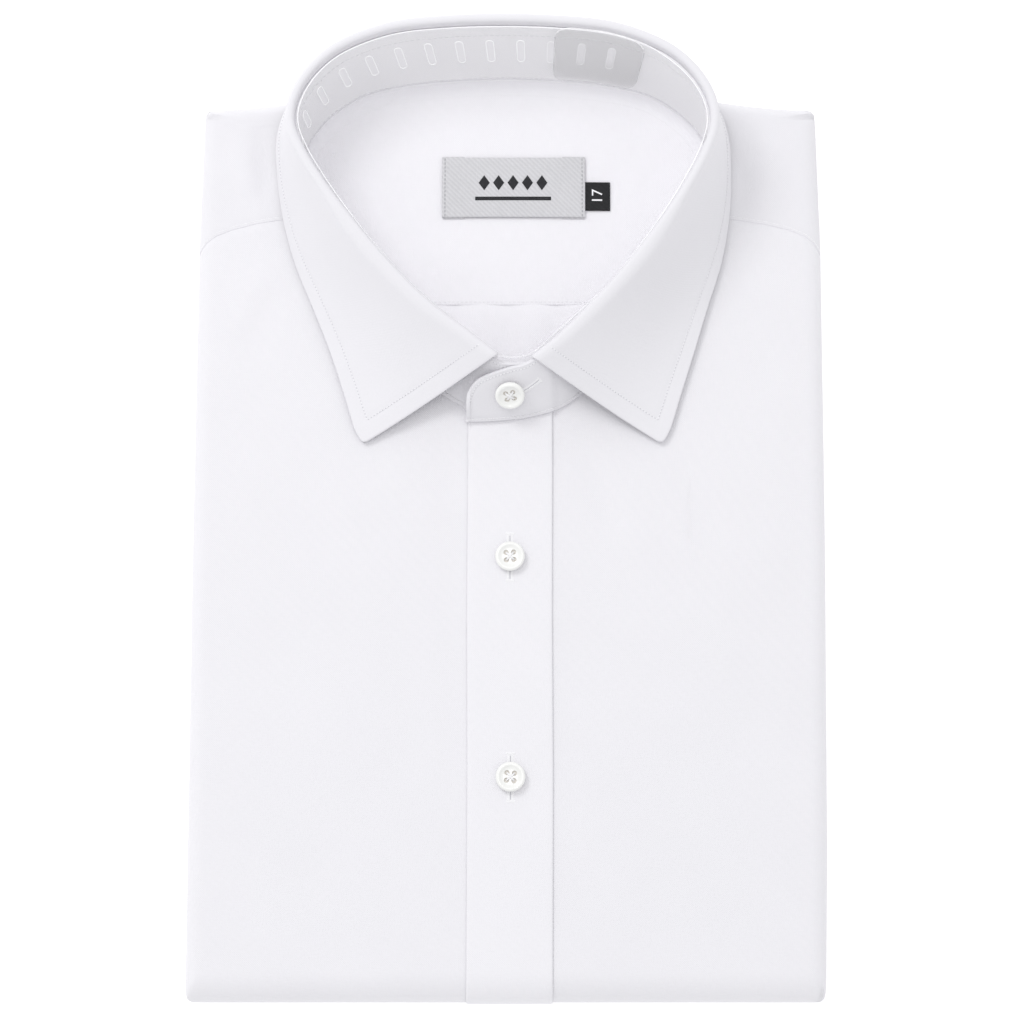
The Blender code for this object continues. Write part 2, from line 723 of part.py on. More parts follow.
def make_support(finish, place):
    """The clear strip inside the stand, its ends lapped at the back."""
    feet, tops, lap = stand_curves(2)
    first, last = len(OVER_END) * 2, len(feet) - len(UNDER_END) * 2
    ring = np.arange(first, last)
    count = len(ring)
    out = outward(feet, tops)
    start, end = int(SUPPORT_LAP[1] * count), int(SUPPORT_LAP[0] * count)
    order = [ring[k % count] for k in range(end, end + count + start - end + 1)]
    inner = 0.5 * STAND_WALL + SUPPORT_GAP + 0.5 * SUPPORT_WALL
    step_in = SUPPORT_WALL + SEAM_GAP
    grid = []
    for k, index in enumerate(order):
        depth = inner + step_in * (1.0 - smoothstep(SUPPORT_LAP_EASE * k / len(order)))
        depth += OVERLAP_SHIFT * front_share(feet[index])
        foot, rise = feet[index], tops[index] - feet[index]
        near_end = min(k, len(order) - 1 - k)
        trim = SUPPORT_END_TRIM[min(near_end, 2)]
        low, high = SUPPORT_SHARE[0] + trim, SUPPORT_SHARE[1] - trim
        grid.append([foot + rise * t - out[index] * depth for t in np.linspace(low, high, 4)])
    return surface_object("collar_support", grid, SUPPORT_WALL, finish, place, offset=0.0)


def front_share(foot):
    """1 where the collar's two ends lap at the front, 0 further back."""
    return smoothstep((LAP_END_X + 6.0 - abs(foot[0])) / LAP_RUN) if foot[1] < FRONT_HALF_Y else 0.0


# Buttons


def make_button(name, centre, normal, finish, place, cutters):
    """A turned four-hole button: rounded rim, dished middle, flat back."""
    radius = 0.5 * BUTTON_DIAMETER
    inner = radius - BUTTON_RIM
    profile = [
        (0.0, BUTTON_HEIGHT - BUTTON_DISH),
        (inner - 0.9, BUTTON_HEIGHT - BUTTON_DISH),
        (inner, BUTTON_HEIGHT - 0.5 * BUTTON_DISH),
        (inner + 0.5, BUTTON_HEIGHT),
        (radius - 0.5, BUTTON_HEIGHT - 0.1),
        (radius, BUTTON_HEIGHT - 0.9),
        (radius - 0.3, 0.9),
        (radius - 1.6, 0.0),
        (0.0, 0.0),
    ]
    mesh = bpy.data.meshes.new(name)
    form = bmesh.new()
    points = [form.verts.new((x * MM, 0.0, z * MM)) for x, z in profile]
    for near, far in zip(points, points[1:]):
        form.edges.new((near, far))
    bmesh.ops.spin(
        form, geom=form.verts[:] + form.edges[:], cent=(0, 0, 0), axis=(0, 0, 1), angle=2 * math.pi, steps=24
    )
    bmesh.ops.remove_doubles(form, verts=form.verts[:], dist=1e-6)
    bmesh.ops.recalc_face_normals(form, faces=form.faces)
    form.to_mesh(mesh)
    form.free()
    mesh.materials.append(finish)
    mesh.shade_smooth()
    thing = bpy.data.objects.new(name, mesh)
    place.objects.link(thing)
    cutter = hole_cutter(name + "_holes", cutters)
    holes = thing.modifiers.new("holes", "BOOLEAN")
    holes.operation = "DIFFERENCE"
    holes.object = cutter
    tilt = math.atan2(-normal[1], normal[2])
    for piece in (thing, cutter):
        piece.location = [value * MM for value in centre]
        piece.rotation_euler = (tilt, 0.0, 0.0)
    return thing


def hole_cutter(name, cutters):
    """Four pins that cut a button's sewing holes."""
    mesh = bpy.data.meshes.new(name)
    form = bmesh.new()
    half = 0.5 * BUTTON_HOLE_PITCH
    for x in (-half, half):
        for y in (-half, half):
            pin = bmesh.ops.create_cone(
                form,
                cap_ends=True,
                segments=8,
                radius1=0.5 * BUTTON_HOLE_DIAMETER * MM,
                radius2=0.5 * BUTTON_HOLE_DIAMETER * MM,
                depth=4 * BUTTON_HEIGHT * MM,
            )
            bmesh.ops.translate(form, verts=pin["verts"], vec=(x * MM, y * MM, 0.0))
    form.to_mesh(mesh)
    form.free()
    cutter = bpy.data.objects.new(name, mesh)
    cutter.hide_render = True
    cutter.display_type = "WIRE"
    cutters.objects.link(cutter)
    return cutter


def placket_button_place(y):
    top = cover(0.0, y, -PLACKET_LIFT)
    return top + np.array([0.0, 0.0, BUTTON_SHANK_GAP]), np.array([0.0, 0.0, 1.0])


def collar_button_place():
    """On the over end of the stand, square to it."""
    corner = COLLAR[0]
    foot = np.array([*COLLAR_BUTTON_FOOT, seat_height(*COLLAR_BUTTON_FOOT)])
    full = np.array([0.0, corner[3] - corner[1], corner[4] - seat_height(corner[0], corner[1])])
    normal = np.array([0.0, -full[2], full[1]]) / np.hypot(full[1], full[2])
    rise = OVERLAP_SHIFT + 0.5 * STAND_WALL + BUTTON_SHANK_GAP
    return foot + full * COLLAR_BUTTON_SHARE + normal * rise, normal


def build():
    clear_scene()
    shirt = collection("folded_dress_shirt")
    cutters = collection("button_cutters")
    cloth = material("white_cloth", WHITE_CLOTH)
    collar_cloth = material("collar_cloth", COLLAR_CLOTH)
    make_hidden_layers(cloth, shirt)
    half_gap = 0.5 * SEAM_GAP
    make_inner_layer("back", BOTTOM_Y + LINING_MARGIN, INNER_YOKE_SEAM_Y - half_gap, BODY_ROWS, False, cloth, shirt)
    make_inner_layer("yoke_lining", INNER_YOKE_SEAM_Y + half_gap, SHOULDER_Y + BACK_NECK_RISE, 8, True, cloth, shirt)
    make_front("front_left", 1, cloth, shirt)
    make_front("front_right", -1, cloth, shirt)
    make_placket(cloth, shirt)
    make_yoke(cloth, shirt)
    make_stand(collar_cloth, shirt)
    make_leaf(collar_cloth, shirt)
    make_support(material("clear_plastic", CLEAR_PLASTIC), shirt)
    make_patch("neck_label", LABEL_SIZE, LABEL_CENTRE, material("woven_label", WOVEN_LABEL), shirt)
    make_patch("size_tab", TAB_SIZE, TAB_CENTRE, material("tab_cloth", TAB_CLOTH), shirt)
    shell = material("button_shell", BUTTON_SHELL)
    make_button("button_collar", *collar_button_place(), shell, shirt, cutters)
    for number, y in enumerate(PLACKET_BUTTONS_Y, start=1):
        make_button("button_%d" % number, *placket_button_place(y), shell, shirt, cutters)


build()
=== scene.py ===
# %% [markdown]
# A folded dress shirt
#
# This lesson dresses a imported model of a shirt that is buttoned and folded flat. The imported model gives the
# solids their places, and each cell below makes one piece of the real shirt around them: the pile of folded
# layers, the two fronts, the placket, the yoke, the band and leaf of the collar, the clear strip that holds
# the collar open, the label, the buttons and every row of stitches.
#
# Lengths are in millimetres until a mesh is made. X runs across the shirt, Y up to the collar, Z up.

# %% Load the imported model
import json
import math

import bmesh
import bpy
import numpy as np
from mathutils import Matrix, Vector

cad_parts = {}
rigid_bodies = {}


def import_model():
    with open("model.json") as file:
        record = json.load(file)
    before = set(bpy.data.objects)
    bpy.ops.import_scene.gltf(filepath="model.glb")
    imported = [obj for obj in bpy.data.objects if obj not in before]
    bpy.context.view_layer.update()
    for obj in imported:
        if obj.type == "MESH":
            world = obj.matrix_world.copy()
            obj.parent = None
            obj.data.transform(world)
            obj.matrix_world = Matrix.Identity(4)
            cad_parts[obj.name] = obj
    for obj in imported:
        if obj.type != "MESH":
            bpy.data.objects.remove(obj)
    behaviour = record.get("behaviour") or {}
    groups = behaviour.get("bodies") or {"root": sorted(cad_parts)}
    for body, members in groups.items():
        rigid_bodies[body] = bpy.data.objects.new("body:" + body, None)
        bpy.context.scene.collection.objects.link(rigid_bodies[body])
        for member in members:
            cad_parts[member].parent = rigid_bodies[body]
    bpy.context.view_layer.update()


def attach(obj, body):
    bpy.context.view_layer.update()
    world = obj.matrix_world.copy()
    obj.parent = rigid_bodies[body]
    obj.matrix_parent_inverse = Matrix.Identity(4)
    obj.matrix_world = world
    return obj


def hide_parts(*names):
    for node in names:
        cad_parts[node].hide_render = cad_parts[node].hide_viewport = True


MM = 0.001
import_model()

# %% [markdown]
# The camera
#
# The shirt is photographed from almost straight above, a little towards the collar's front, so that the
# inside of the band shows at the back. A long lens a good metre away keeps its sides nearly parallel.

# %% Camera
CAMERA_DISTANCE = 1250.0  # millimetres
CAMERA_TILT = math.radians(8.0)
CAMERA_TARGET = (0.78, 0.0, 20.0)
CAMERA_LENS = 113.1


def link(name, data):
    """Put a mesh, a curve, a lamp or a camera into the scene."""
    thing = bpy.data.objects.new(name, data)
    bpy.context.scene.collection.objects.link(thing)
    return thing


camera_data = bpy.data.cameras.new("camera")
camera_data.lens = CAMERA_LENS
camera_data.sensor_width = 36.0
camera_data.clip_end = 20.0
camera = link("camera", camera_data)
camera.location = (
    CAMERA_TARGET[0] * MM,
    (CAMERA_TARGET[1] - CAMERA_DISTANCE * math.sin(CAMERA_TILT)) * MM,
    (CAMERA_TARGET[2] + CAMERA_DISTANCE * math.cos(CAMERA_TILT)) * MM,
)
camera.rotation_euler = (CAMERA_TILT, 0.0, 0.0)
bpy.context.scene.camera = camera
print("camera stands at", [round(value, 3) for value in camera.location])

# %% [markdown]
# Light and floor
#
# White cloth on a white table shows only through soft shadows. An even white sky gives most of the light, one
# broad lamp at the upper left gives each fold a lit side and a shaded side, and a weaker one overhead reaches
# into the neck. The table glows a little, as the light tables of packshot studios do, so that only the shadow
# right under the cloth is left on it. The standard view keeps white as white.

# %% Light and floor
SKY_STRENGTH = 0.85
LAMP_SIZE = 0.9  # the lamps and the floor are in metres
LAMP_PLACE = (-1.05, 1.15, 1.9)
LAMP_POWER = 15.5
OVERHEAD_PLACE = (0.0, 0.25, 2.2)
OVERHEAD_SIZE = 1.0
OVERHEAD_POWER = 4.5
FLOOR_GLOW = 0.25
FLOOR_SIZE = 12.0

bpy.context.scene.view_settings.view_transform = "Standard"
world = bpy.data.worlds.new("even_sky")
world.use_nodes = True
sky = world.node_tree.nodes["Background"].inputs
sky["Color"].default_value = (0.985, 0.99, 1.0, 1.0)
sky["Strength"].default_value = SKY_STRENGTH
bpy.context.scene.world = world


def area_lamp(name, place, size, power):
    data = bpy.data.lights.new(name, "AREA")
    data.shape = "DISK"
    data.size = size
    data.energy = power
    lamp = link(name, data)
    lamp.location = place
    lamp.rotation_euler = (-Vector(place)).to_track_quat("-Z", "Y").to_euler()


def mesh_of(form, name, finish=None):
    """Turn a form into a mesh that has its finish."""
    mesh = bpy.data.meshes.new(name)
    form.to_mesh(mesh)
    form.free()
    if finish:
        mesh.materials.append(finish)
    return mesh


area_lamp("lamp_upper_left", LAMP_PLACE, LAMP_SIZE, LAMP_POWER)
area_lamp("lamp_overhead", OVERHEAD_PLACE, OVERHEAD_SIZE, OVERHEAD_POWER)

form = bmesh.new()
bmesh.ops.create_grid(form, x_segments=1, y_segments=1, size=0.5 * FLOOR_SIZE)
floor_mesh = mesh_of(form, "floor")
floor = link("floor", floor_mesh)
print("light and floor are in place")

# %% [markdown]
# The weave
#
# Poplin is a plain weave of fine threads: each thread passes over one and under the next. Woven tape, as on
# the label and the size tab, is a twill whose ridges run slantwise. One node group draws both from the
# cloth's own flat coordinates, so the threads follow every fold, and adds slubs, the slightly thicker
# stretches of yarn that keep plain cotton from looking like paper.

# %% Node group: weave
SLUB_STRETCH = (3.1, 0.22)  # waves in a millimetre across the thread and along it
THREAD_HEIGHT = 0.35
# how far the twill's ridges are painted lighter and darker, as painted shade
RIDGE_SHADE = 0.26
CLOUD_SHADE = 0.4
CLOUD_SCALE = 0.035


def socket(group, name, way, kind, value=None):
    made = group.interface.new_socket(name=name, in_out=way, socket_type="NodeSocket" + kind)
    if value is not None:
        made.default_value = value


class Tree:
    """A short way to add nodes and links."""

    def __init__(self, tree):
        self.tree = tree

    def put(self, value, target):
        if isinstance(value, bpy.types.NodeSocket):
            self.tree.links.new(value, target)
        else:
            target.default_value = value

    def node(self, kind, inputs=None, **settings):
        """Add a node; each input, named or numbered, gets a value or a link."""
        made = self.tree.nodes.new(kind)
        for name, value in settings.items():
            setattr(made, name, value)
        for name, value in (inputs or {}).items():
            self.put(value, made.inputs[name])
        return made.outputs

    def math(self, operation, first, second=0.0):
        return self.node("ShaderNodeMath", {0: first, 1: second}, operation=operation)[0]

    def noise(self, vector, scale, detail):
        return self.node("ShaderNodeTexNoise", {"Vector": vector, "Scale": scale, "Detail": detail})["Fac"]

    def stretched(self, vector, scale):
        return self.node("ShaderNodeMapping", {"Vector": vector, "Scale": scale})["Vector"]

    def mix(self, share, first, second):
        """A colour between two others, each given as three values or as a socket."""
        ends = [item if isinstance(item, bpy.types.NodeSocket) else (*item, 1.0) for item in (first, second)]
        return self.node("ShaderNodeMix", {0: share, 6: ends[0], 7: ends[1]}, data_type="RGBA")[2]

    def relief(self, shader, height, strength, depth):
        """Low relief on a finish, up to a depth in millimetres."""
        bump = self.node("ShaderNodeBump", {"Strength": strength, "Distance": depth * MM, "Height": height})
        self.put(bump["Normal"], shader.inputs["Normal"])


def weave_group():
    group = bpy.data.node_groups.new("weave", "ShaderNodeTree")
    socket(group, "Flat", "INPUT", "Vector")
    for name, value in (("Pitch mm", 0.4), ("Slant", 0.0), ("Slub", 0.5)):
        socket(group, name, "INPUT", "Float", value)
    for name in ("Height", "Shade"):
        socket(group, name, "OUTPUT", "Float")
    tree = Tree(group)
    ins = tree.node("NodeGroupInput")
    outs = group.nodes.new("NodeGroupOutput").inputs
    flat = tree.node("ShaderNodeSeparateXYZ", {0: ins["Flat"]})
    turn = tree.math("DIVIDE", math.pi, ins["Pitch mm"])
    across = tree.math("MULTIPLY", flat["X"], turn)
    along = tree.math("MULTIPLY", flat["Y"], turn)
    plain = tree.math("MULTIPLY", tree.math("SINE", across), tree.math("SINE", along))
    ridges = tree.math("SINE", tree.math("ADD", across, along))
    slanted = tree.math("MULTIPLY", ridges, ins["Slant"])
    level = tree.math("MULTIPLY", plain, tree.math("SUBTRACT", 1.0, ins["Slant"]))
    threads = tree.math("ADD", slanted, level)
    warp = tree.noise(tree.stretched(ins["Flat"], (*SLUB_STRETCH, 1.0)), 1.0, 2.0)
    weft = tree.noise(tree.stretched(ins["Flat"], (*SLUB_STRETCH[::-1], 1.0)), 1.0, 2.0)
    slub = tree.math("SUBTRACT", tree.math("ADD", warp, weft), 1.0)
    slub = tree.math("MULTIPLY", slub, ins["Slub"])
    tree.put(tree.math("ADD", tree.math("MULTIPLY", threads, THREAD_HEIGHT), slub), outs["Height"])
    cloud = tree.math("SUBTRACT", tree.noise(ins["Flat"], CLOUD_SCALE, 3.0), 0.5)
    # Painted shade: the twill's ridges are also painted lighter and darker in the colour.
    ridge_shade = tree.math("MULTIPLY", slanted, RIDGE_SHADE)
    shaded = tree.math("ADD", ridge_shade, tree.math("MULTIPLY", cloud, CLOUD_SHADE))
    tree.put(tree.math("ADD", tree.math("ADD", slub, shaded), 0.5), outs["Shade"])
    return group


weave = weave_group()
print("weave group:", [item.name for item in weave.interface.items_tree])

# %% [markdown]
# Finishes
#
# The shirt's cotton is a cool white that turns lavender in its shadows. The collar is the same cloth with a
# stiff layer fused to it, so its surface is smoother. Thread has a little more shine, the buttons are pearly,
# and the strip is clear film, drawn with alpha so that the band still shows through it.

# %% Cloth finishes
POPLIN_PITCH = 0.42
WEAVE_DEPTH = 0.12
LABEL_TAPE = {"relief": 1.0, "slub": 0.6, "slant": 0.8, "pitch": 1.0, "roughness": 0.6}
BLACK_TAPE = {"relief": 1.0, "pitch": 1.0, "roughness": 0.7}


def cool(level):
    """The shirt's white at one brightness: a little more blue than red, and less green."""
    return level, level - 0.01, level + 0.02


def new_finish(name, roughness, sheen=0.0, specular=0.5):
    made = bpy.data.materials.new(name)
    made.use_nodes = True
    shader = made.node_tree.nodes["Principled BSDF"]
    sheens = {"Sheen Weight": sheen, "Sheen Roughness": 0.45}
    for part, value in {"Roughness": roughness, "Specular IOR Level": specular, **sheens}.items():
        shader.inputs[part].default_value = value
    return made, shader, Tree(made.node_tree)


def cloth_finish(name, dark, light, relief, slub=0.5, slant=0.0, pitch=POPLIN_PITCH, roughness=0.85):
    """Woven cloth whose threads follow the piece's own flat coordinates."""
    made, shader, tree = new_finish(name, roughness, sheen=0.12, specular=0.3)
    metres = tree.node("ShaderNodeUVMap", uv_map="cloth")["UV"]
    flat = tree.stretched(metres, (1000.0, 1000.0, 1.0))
    threads = made.node_tree.nodes.new("ShaderNodeGroup")
    threads.node_tree = weave
    for part, value in (("Flat", flat), ("Pitch mm", pitch), ("Slant", slant), ("Slub", slub)):
        tree.put(value, threads.inputs[part])
    tree.put(tree.mix(threads.outputs["Shade"], dark, light), shader.inputs["Base Color"])
    tree.relief(shader, threads.outputs["Height"], relief, WEAVE_DEPTH)
    return made


shirt_cloth = cloth_finish("shirt_cloth", cool(0.774), cool(0.833), relief=0.7)
placket_cloth = cloth_finish("placket_cloth", cool(0.790), cool(0.850), relief=0.7)
# Painted light: the inside of the back, the yoke lining and the neck seam take a lighter copy of the shirt's
# cloth, to make up for the shade inside the neck.
inside_cloth = cloth_finish("inside_cloth", cool(0.833), cool(0.882), relief=0.6)
# Painted light: the inside of the band takes a lighter copy of the collar's cloth, against the shade that falls
# there.
brightened_band_inside = cloth_finish("band_inside_cloth", (0.897, 0.888, 0.907), (0.936, 0.926, 0.946), 0.4, slub=0.3)
collar_cloth = cloth_finish("collar_cloth", cool(0.761), cool(0.810), relief=0.45, slub=0.3)
label_cloth = cloth_finish("label_cloth", (0.533, 0.529, 0.548), (0.689, 0.684, 0.703), **LABEL_TAPE)
bar_cloth = cloth_finish("bar_cloth", (0.012, 0.012, 0.014), (0.03, 0.03, 0.034), slant=0.2, **BLACK_TAPE)
tab_cloth = cloth_finish("tab_cloth", (0.008, 0.008, 0.009), (0.02, 0.02, 0.022), slant=0.5, **BLACK_TAPE)
print("cloth finishes made")

# %% Thread, shell, film and floor finishes
FILM_ALPHA = 0.009
FILM_CLOUD_ALPHA = 0.006  # added where the film is a little cloudy
FILM_RIM_ALPHA = 0.62
# painted shade: the film's cut ends are painted grey and less clear
FILM_END_ALPHA = 0.3
FILM_RIM_PAINTED_GLOW = 0.22  # painted highlight: a glow at the film's rims
# painted highlight: the glow of the wire rims round the slots
SLOT_RIM_PAINTED_GLOW = 0.16
MOTTLE_DEPTH = 0.05
MOTTLE_DARK = 0.93


def set_glow(shader, strength):
    shader.inputs["Emission Color"].default_value = (1.0, 1.0, 1.0, 1.0)
    shader.inputs["Emission Strength"].default_value = strength


def plain_finish(name, colour, roughness, grain, relief=0.0, specular=0.5, coat=0.0, glow=0.0):
    """A solid colour with a fine mottle in the piece's own space."""
    made, shader, tree = new_finish(name, roughness, specular=specular)
    mottle = tree.noise(tree.node("ShaderNodeTexCoord")["Object"], grain, 3.0)
    dark = tuple(MOTTLE_DARK * value for value in colour)
    tree.put(tree.mix(mottle, dark, colour), shader.inputs["Base Color"])
    tree.relief(shader, mottle, relief, MOTTLE_DEPTH)
    shader.inputs["Coat Weight"].default_value = coat
    if glow:
        set_glow(shader, glow)
    return made


def film_finish():
    made, shader, tree = new_finish("clear_film", 0.12, specular=0.6)
    rim = tree.node("ShaderNodeAttribute", attribute_name="rim")["Fac"]
    end = tree.node("ShaderNodeAttribute", attribute_name="end")["Fac"]
    cloud = tree.noise(tree.node("ShaderNodeTexCoord")["Object"], 90.0, 2.0)
    # Painted highlight: the rims are painted near white, glow and are less clear than the film.
    clear = tree.mix(rim, (0.84, 0.83, 0.87), (0.97, 0.97, 0.98))
    # Painted shade: the cut ends and the doubled lap are painted grey.
    tree.put(tree.mix(end, clear, (0.36, 0.36, 0.39)), shader.inputs["Base Color"])
    tree.put(tree.mix(rim, (0.0, 0.0, 0.0), (1.0, 1.0, 1.0)), shader.inputs["Emission Color"])
    shader.inputs["Emission Strength"].default_value = FILM_RIM_PAINTED_GLOW
    veil = tree.math("ADD", tree.math("MULTIPLY", cloud, FILM_CLOUD_ALPHA), FILM_ALPHA)
    at_rim = tree.math("MULTIPLY", rim, FILM_RIM_ALPHA)
    at_end = tree.math("MULTIPLY", end, FILM_END_ALPHA)
    tree.put(tree.math("ADD", veil, tree.math("ADD", at_rim, at_end)), shader.inputs["Alpha"])
    return made


# Painted highlight: the rims round the slots are near white and glow.
rim_highlight_finish = plain_finish("film_rim", (0.93, 0.93, 0.94), 0.15, grain=900.0, specular=0.6, glow=SLOT_RIM_PAINTED_GLOW)
inner_thread = plain_finish("inner_thread", (0.80, 0.79, 0.82), 0.7, grain=4000.0, relief=0.3)
thread_finish = plain_finish("thread", (0.93, 0.925, 0.94), 0.6, grain=4000.0, relief=0.3)
tape_thread = plain_finish("tape_thread", (0.33, 0.33, 0.35), 0.6, grain=4000.0, relief=0.3)
shank_finish = plain_finish("shank_thread", (0.74, 0.70, 0.65), 0.8, grain=3000.0, relief=0.4)
shell_finish = plain_finish("pearl_shell", (0.90, 0.90, 0.88), 0.14, 260.0, 0.05, specular=0.6, coat=0.5)
# Painted shade: grey marks for the shade in the needle holes.
needle_hole_shade_finish = plain_finish("needle_hole", (0.63, 0.63, 0.66), 0.9, grain=2000.0, specular=0.1)
# Painted shade: the dark sheet in each buttonhole's slit.
slit_shadow_finish = plain_finish("slit_shadow", (0.50, 0.50, 0.53), 0.9, grain=2000.0, specular=0.1)
floor_finish, floor_shader, _ = new_finish("white_floor", 0.9, specular=0.1)
floor_shader.inputs["Base Color"].default_value = (0.97, 0.97, 0.965, 1.0)
set_glow(floor_shader, FLOOR_GLOW)
film = film_finish()
floor_mesh.materials.append(floor_finish)
print("materials:", [item.name for item in bpy.data.materials if item.users])

# %% [markdown]
# The folded form
#
# Cloth folded into a flat parcel is one long surface that turns the same corners everywhere. So one function,
# cover(), takes a point of the flat cloth, in millimetres, and carries it onto the parcel: flat on top, then
# round a fold at the sides, the bottom or the shoulders. A depth puts a layer under the outer face. These are
# the sizes that the solids were made from.

# %% Sizes of the folded form
SHOULDER_Y = 162.0
BACK_NECK_RISE, BACK_NECK_SPREAD = 16.0, 72.0
BOTTOM_Y = -188.5
SHOULDER_HEIGHT, BODY_HEIGHT = 15.0, 20.5
CROWN = 1.4
NECK_LIFT, NECK_LIFT_REACH = 2.6, 13.0
SIDE_EDGES = (
    # y, left edge, right edge
    (162, -121.2, 121.3),
    (107, -122.9, 122.8),
    (-14, -123.6, 122.8),
    (-130, -123.9, 122),
    (-190, -124.1, 120.8),
)
SIDE_ROLL, BOTTOM_ROLL, SHOULDER_ROLL = 6.5, 11.0, 5.0  # how far in the round folds begin
ROLL_TURN = math.radians(152)
CORNER_SQUARENESS = 6.0
GROOVE_SHARE = 0.43  # height of the first groove at the sides
WRAP_END_HEIGHT = 2.8
UNDERSIDE = 0.1  # outer face of the cloth that turns under the parcel
UNDER_RUN = 14.0  # how far it goes on there
WALL = 0.5  # thickness of the shirt's cloth, drawn a little heavy
PLACKET_LIFT = 1.8
LINING_DEPTH = 1.8

YOKE_SEAM = (
    # distance from the middle, y of the seam on the front
    (60, 117.8),
    (82, 117.5),
    (92, 116.6),
    (101, 115.2),
    (109.5, 113.2),
    (116, 110.6),
    (120, 107.8),
    (123.5, 104.6),
    (150, 97),
)
YOKE_CORNER = 0.34
FRONT_MEETING_X = 4.0
PLACKET_WIDTH = 33.0
INNER_YOKE_SEAM_Y = 82.8
LINING_MARGIN = 14.0

# %% [markdown]
# The collar's table
#
# A pattern cutter draws half a collar and turns the paper over. The table does the same: one row for each
# station from the front corner to the middle of the back, with the neck seam, the fold at the top of the
# band and the edge of the leaf.

# %% Sizes of the collar
BAND_WALL = 1.4
SEAT = 0.3 + 0.9 * BAND_WALL
FOLD_RADIUS = 1.25
OVERLAP_SHIFT = 1.0
COLLAR_SKEW = 3.9
LEAF_CLEARANCE = 2.0
HANGING_FROM_Y = 148.0
COLLAR = (
    # neck seam x, y; fold x, y, z; leaf edge x, y; fall at the fold; flare at the edge, degrees below level
    (6.2, 37.4, 6.4, 57.4, 42.2, 58.2, 26.4, 18, 14),
    (20, 41.9, 17.5, 66, 43.8, 61.6, 32.6, 25, 16),
    (37, 55.2, 32.2, 78.6, 45.6, 65.6, 45.6, 34, 18),
    (53, 72.6, 47, 94.2, 47.2, 71.2, 63, 44, 22),
    (66, 94, 59.8, 110.2, 48.6, 77.4, 81, 54, 28),
    (75, 115.4, 69.8, 124.4, 49.8, 83.6, 98.6, 64, 34),
    (80.6, 131, 77.2, 137.4, 50.6, 87.6, 117, 72, 42),
    (80.2, 143, 80.7, 148.4, 51, 89.2, 134.4, 78, 50),
    (75, 152.6, 78.6, 159, 51, 88.8, 148.6, 80, 56),
    (66.2, 160.8, 71.6, 169.4, 51, 84.4, 161.4, 80, 62),
    (54.4, 167.2, 60.4, 177.8, 51, 72.6, 172.2, 82, 74),
    (37, 170.9, 42, 184.4, 51, 51, 179.4, 84, 82),
    (18, 172.6, 20.5, 186.8, 51, 25, 183.4, 86, 86),
    (0, 173.2, 0, 187.4, 51, 0, 184.2, 86, 86),
)
LEAF_BACK_HEIGHT = (
    # distance from the middle, height of the hanging edge
    (0, 9.5),
    (25, 9.8),
    (51, 11.4),
    (72.6, 16.8),
    (84.4, 20.6),
    (88.8, 21.2),
)
OVER_END = (
    # neck seam x, y, share of the full height
    (-15.6, 35.8, 0.28),
    (-15.5, 35.8, 0.50),
    (-14.5, 35.8, 0.66),
    (-12, 35.8, 0.775),
    (-6.5, 36, 0.87),
    (0, 36.6, 0.94),
)
UNDER_END = (
    # neck seam x, y, share of the full height
    (18.6, 40.6, 0.30),
    (18, 40.4, 0.62),
    (15, 39.4, 0.82),
    (9, 38, 0.92),
    (0, 36.8, 0.96),
)

# %% Small helpers for curves
UPWARD = np.array([0.0, 0.0, 1.0])


def smoothstep(value):
    t = np.clip(value, 0.0, 1.0)
    return t * t * (3.0 - 2.0 * t)


def shares(count):
    return np.linspace(0.0, 1.0, count)


def table_value(table, at, index=1):
    rows = sorted(table)
    return np.interp(at, [row[0] for row in rows], [row[index] for row in rows])


def spline(points, samples):
    """Catmull-Rom curve through points, with the given number of samples between each pair."""
    points = np.asarray(points, float)
    ends = np.vstack([2 * points[0] - points[1], points, 2 * points[-1] - points[-2]])
    t = np.linspace(0.0, 1.0, samples, endpoint=False)[:, None]
    pieces = []
    for a, b, c, d in zip(ends, ends[1:], ends[2:], ends[3:]):
        bend, twist = 2 * a - 5 * b + 4 * c - d, 3 * b - a - 3 * c + d
        pieces.append(0.5 * (2 * b + (c - a) * t + bend * t**2 + twist * t**3))
    return np.vstack(pieces + [points[-1:]])


def run_along(points):
    """Distance along a line of points at each point."""
    return np.concatenate([[0.0], np.cumsum(np.linalg.norm(np.diff(points, axis=0), axis=1))])


def gaps_to(points, others):
    """Distance from each point to the nearest of some others."""
    return np.linalg.norm(points[:, None] - others[None], axis=2).min(axis=1)


def at_distances(points, run, distances):
    return np.stack([np.interp(distances, run, points[:, k]) for k in range(points.shape[1])], axis=1)


def bezier(a, b, c, d, samples):
    t = shares(samples)[:, None]
    return (1 - t) ** 3 * a + 3 * t * (1 - t) ** 2 * b + 3 * t * t * (1 - t) * c + t**3 * d


def unit(vectors):
    return vectors / np.linalg.norm(vectors, axis=-1, keepdims=True)


def skew(y):
    return 1.0 - COLLAR_SKEW * np.clip((np.asarray(y) - 60.0) / 86.0, 0.0, 1.0)


def neck_line(samples):
    table = np.array(COLLAR)
    slide = 0.4 * skew(table[:, 1])
    right = np.stack([table[:, 0] + slide, table[:, 1]], axis=1)
    left = np.stack([-table[:, 0] + slide, table[:, 1]], axis=1)
    return spline(np.vstack([right, left[-2::-1]]), samples)


NECK_LINE = neck_line(6)
print("neck seam in plan: %.0f mm" % run_along(NECK_LINE)[-1])

# %% [markdown]
# Creases
#
# Pressed cotton is never quite flat. Where the shirt was folded and smoothed by hand, long shallow ridges and
# troughs stay in it: fanning from the collar's points, beside the collar on the shoulders, and across the
# chest. Each is a soft line with its own place, width and height, uneven on purpose.

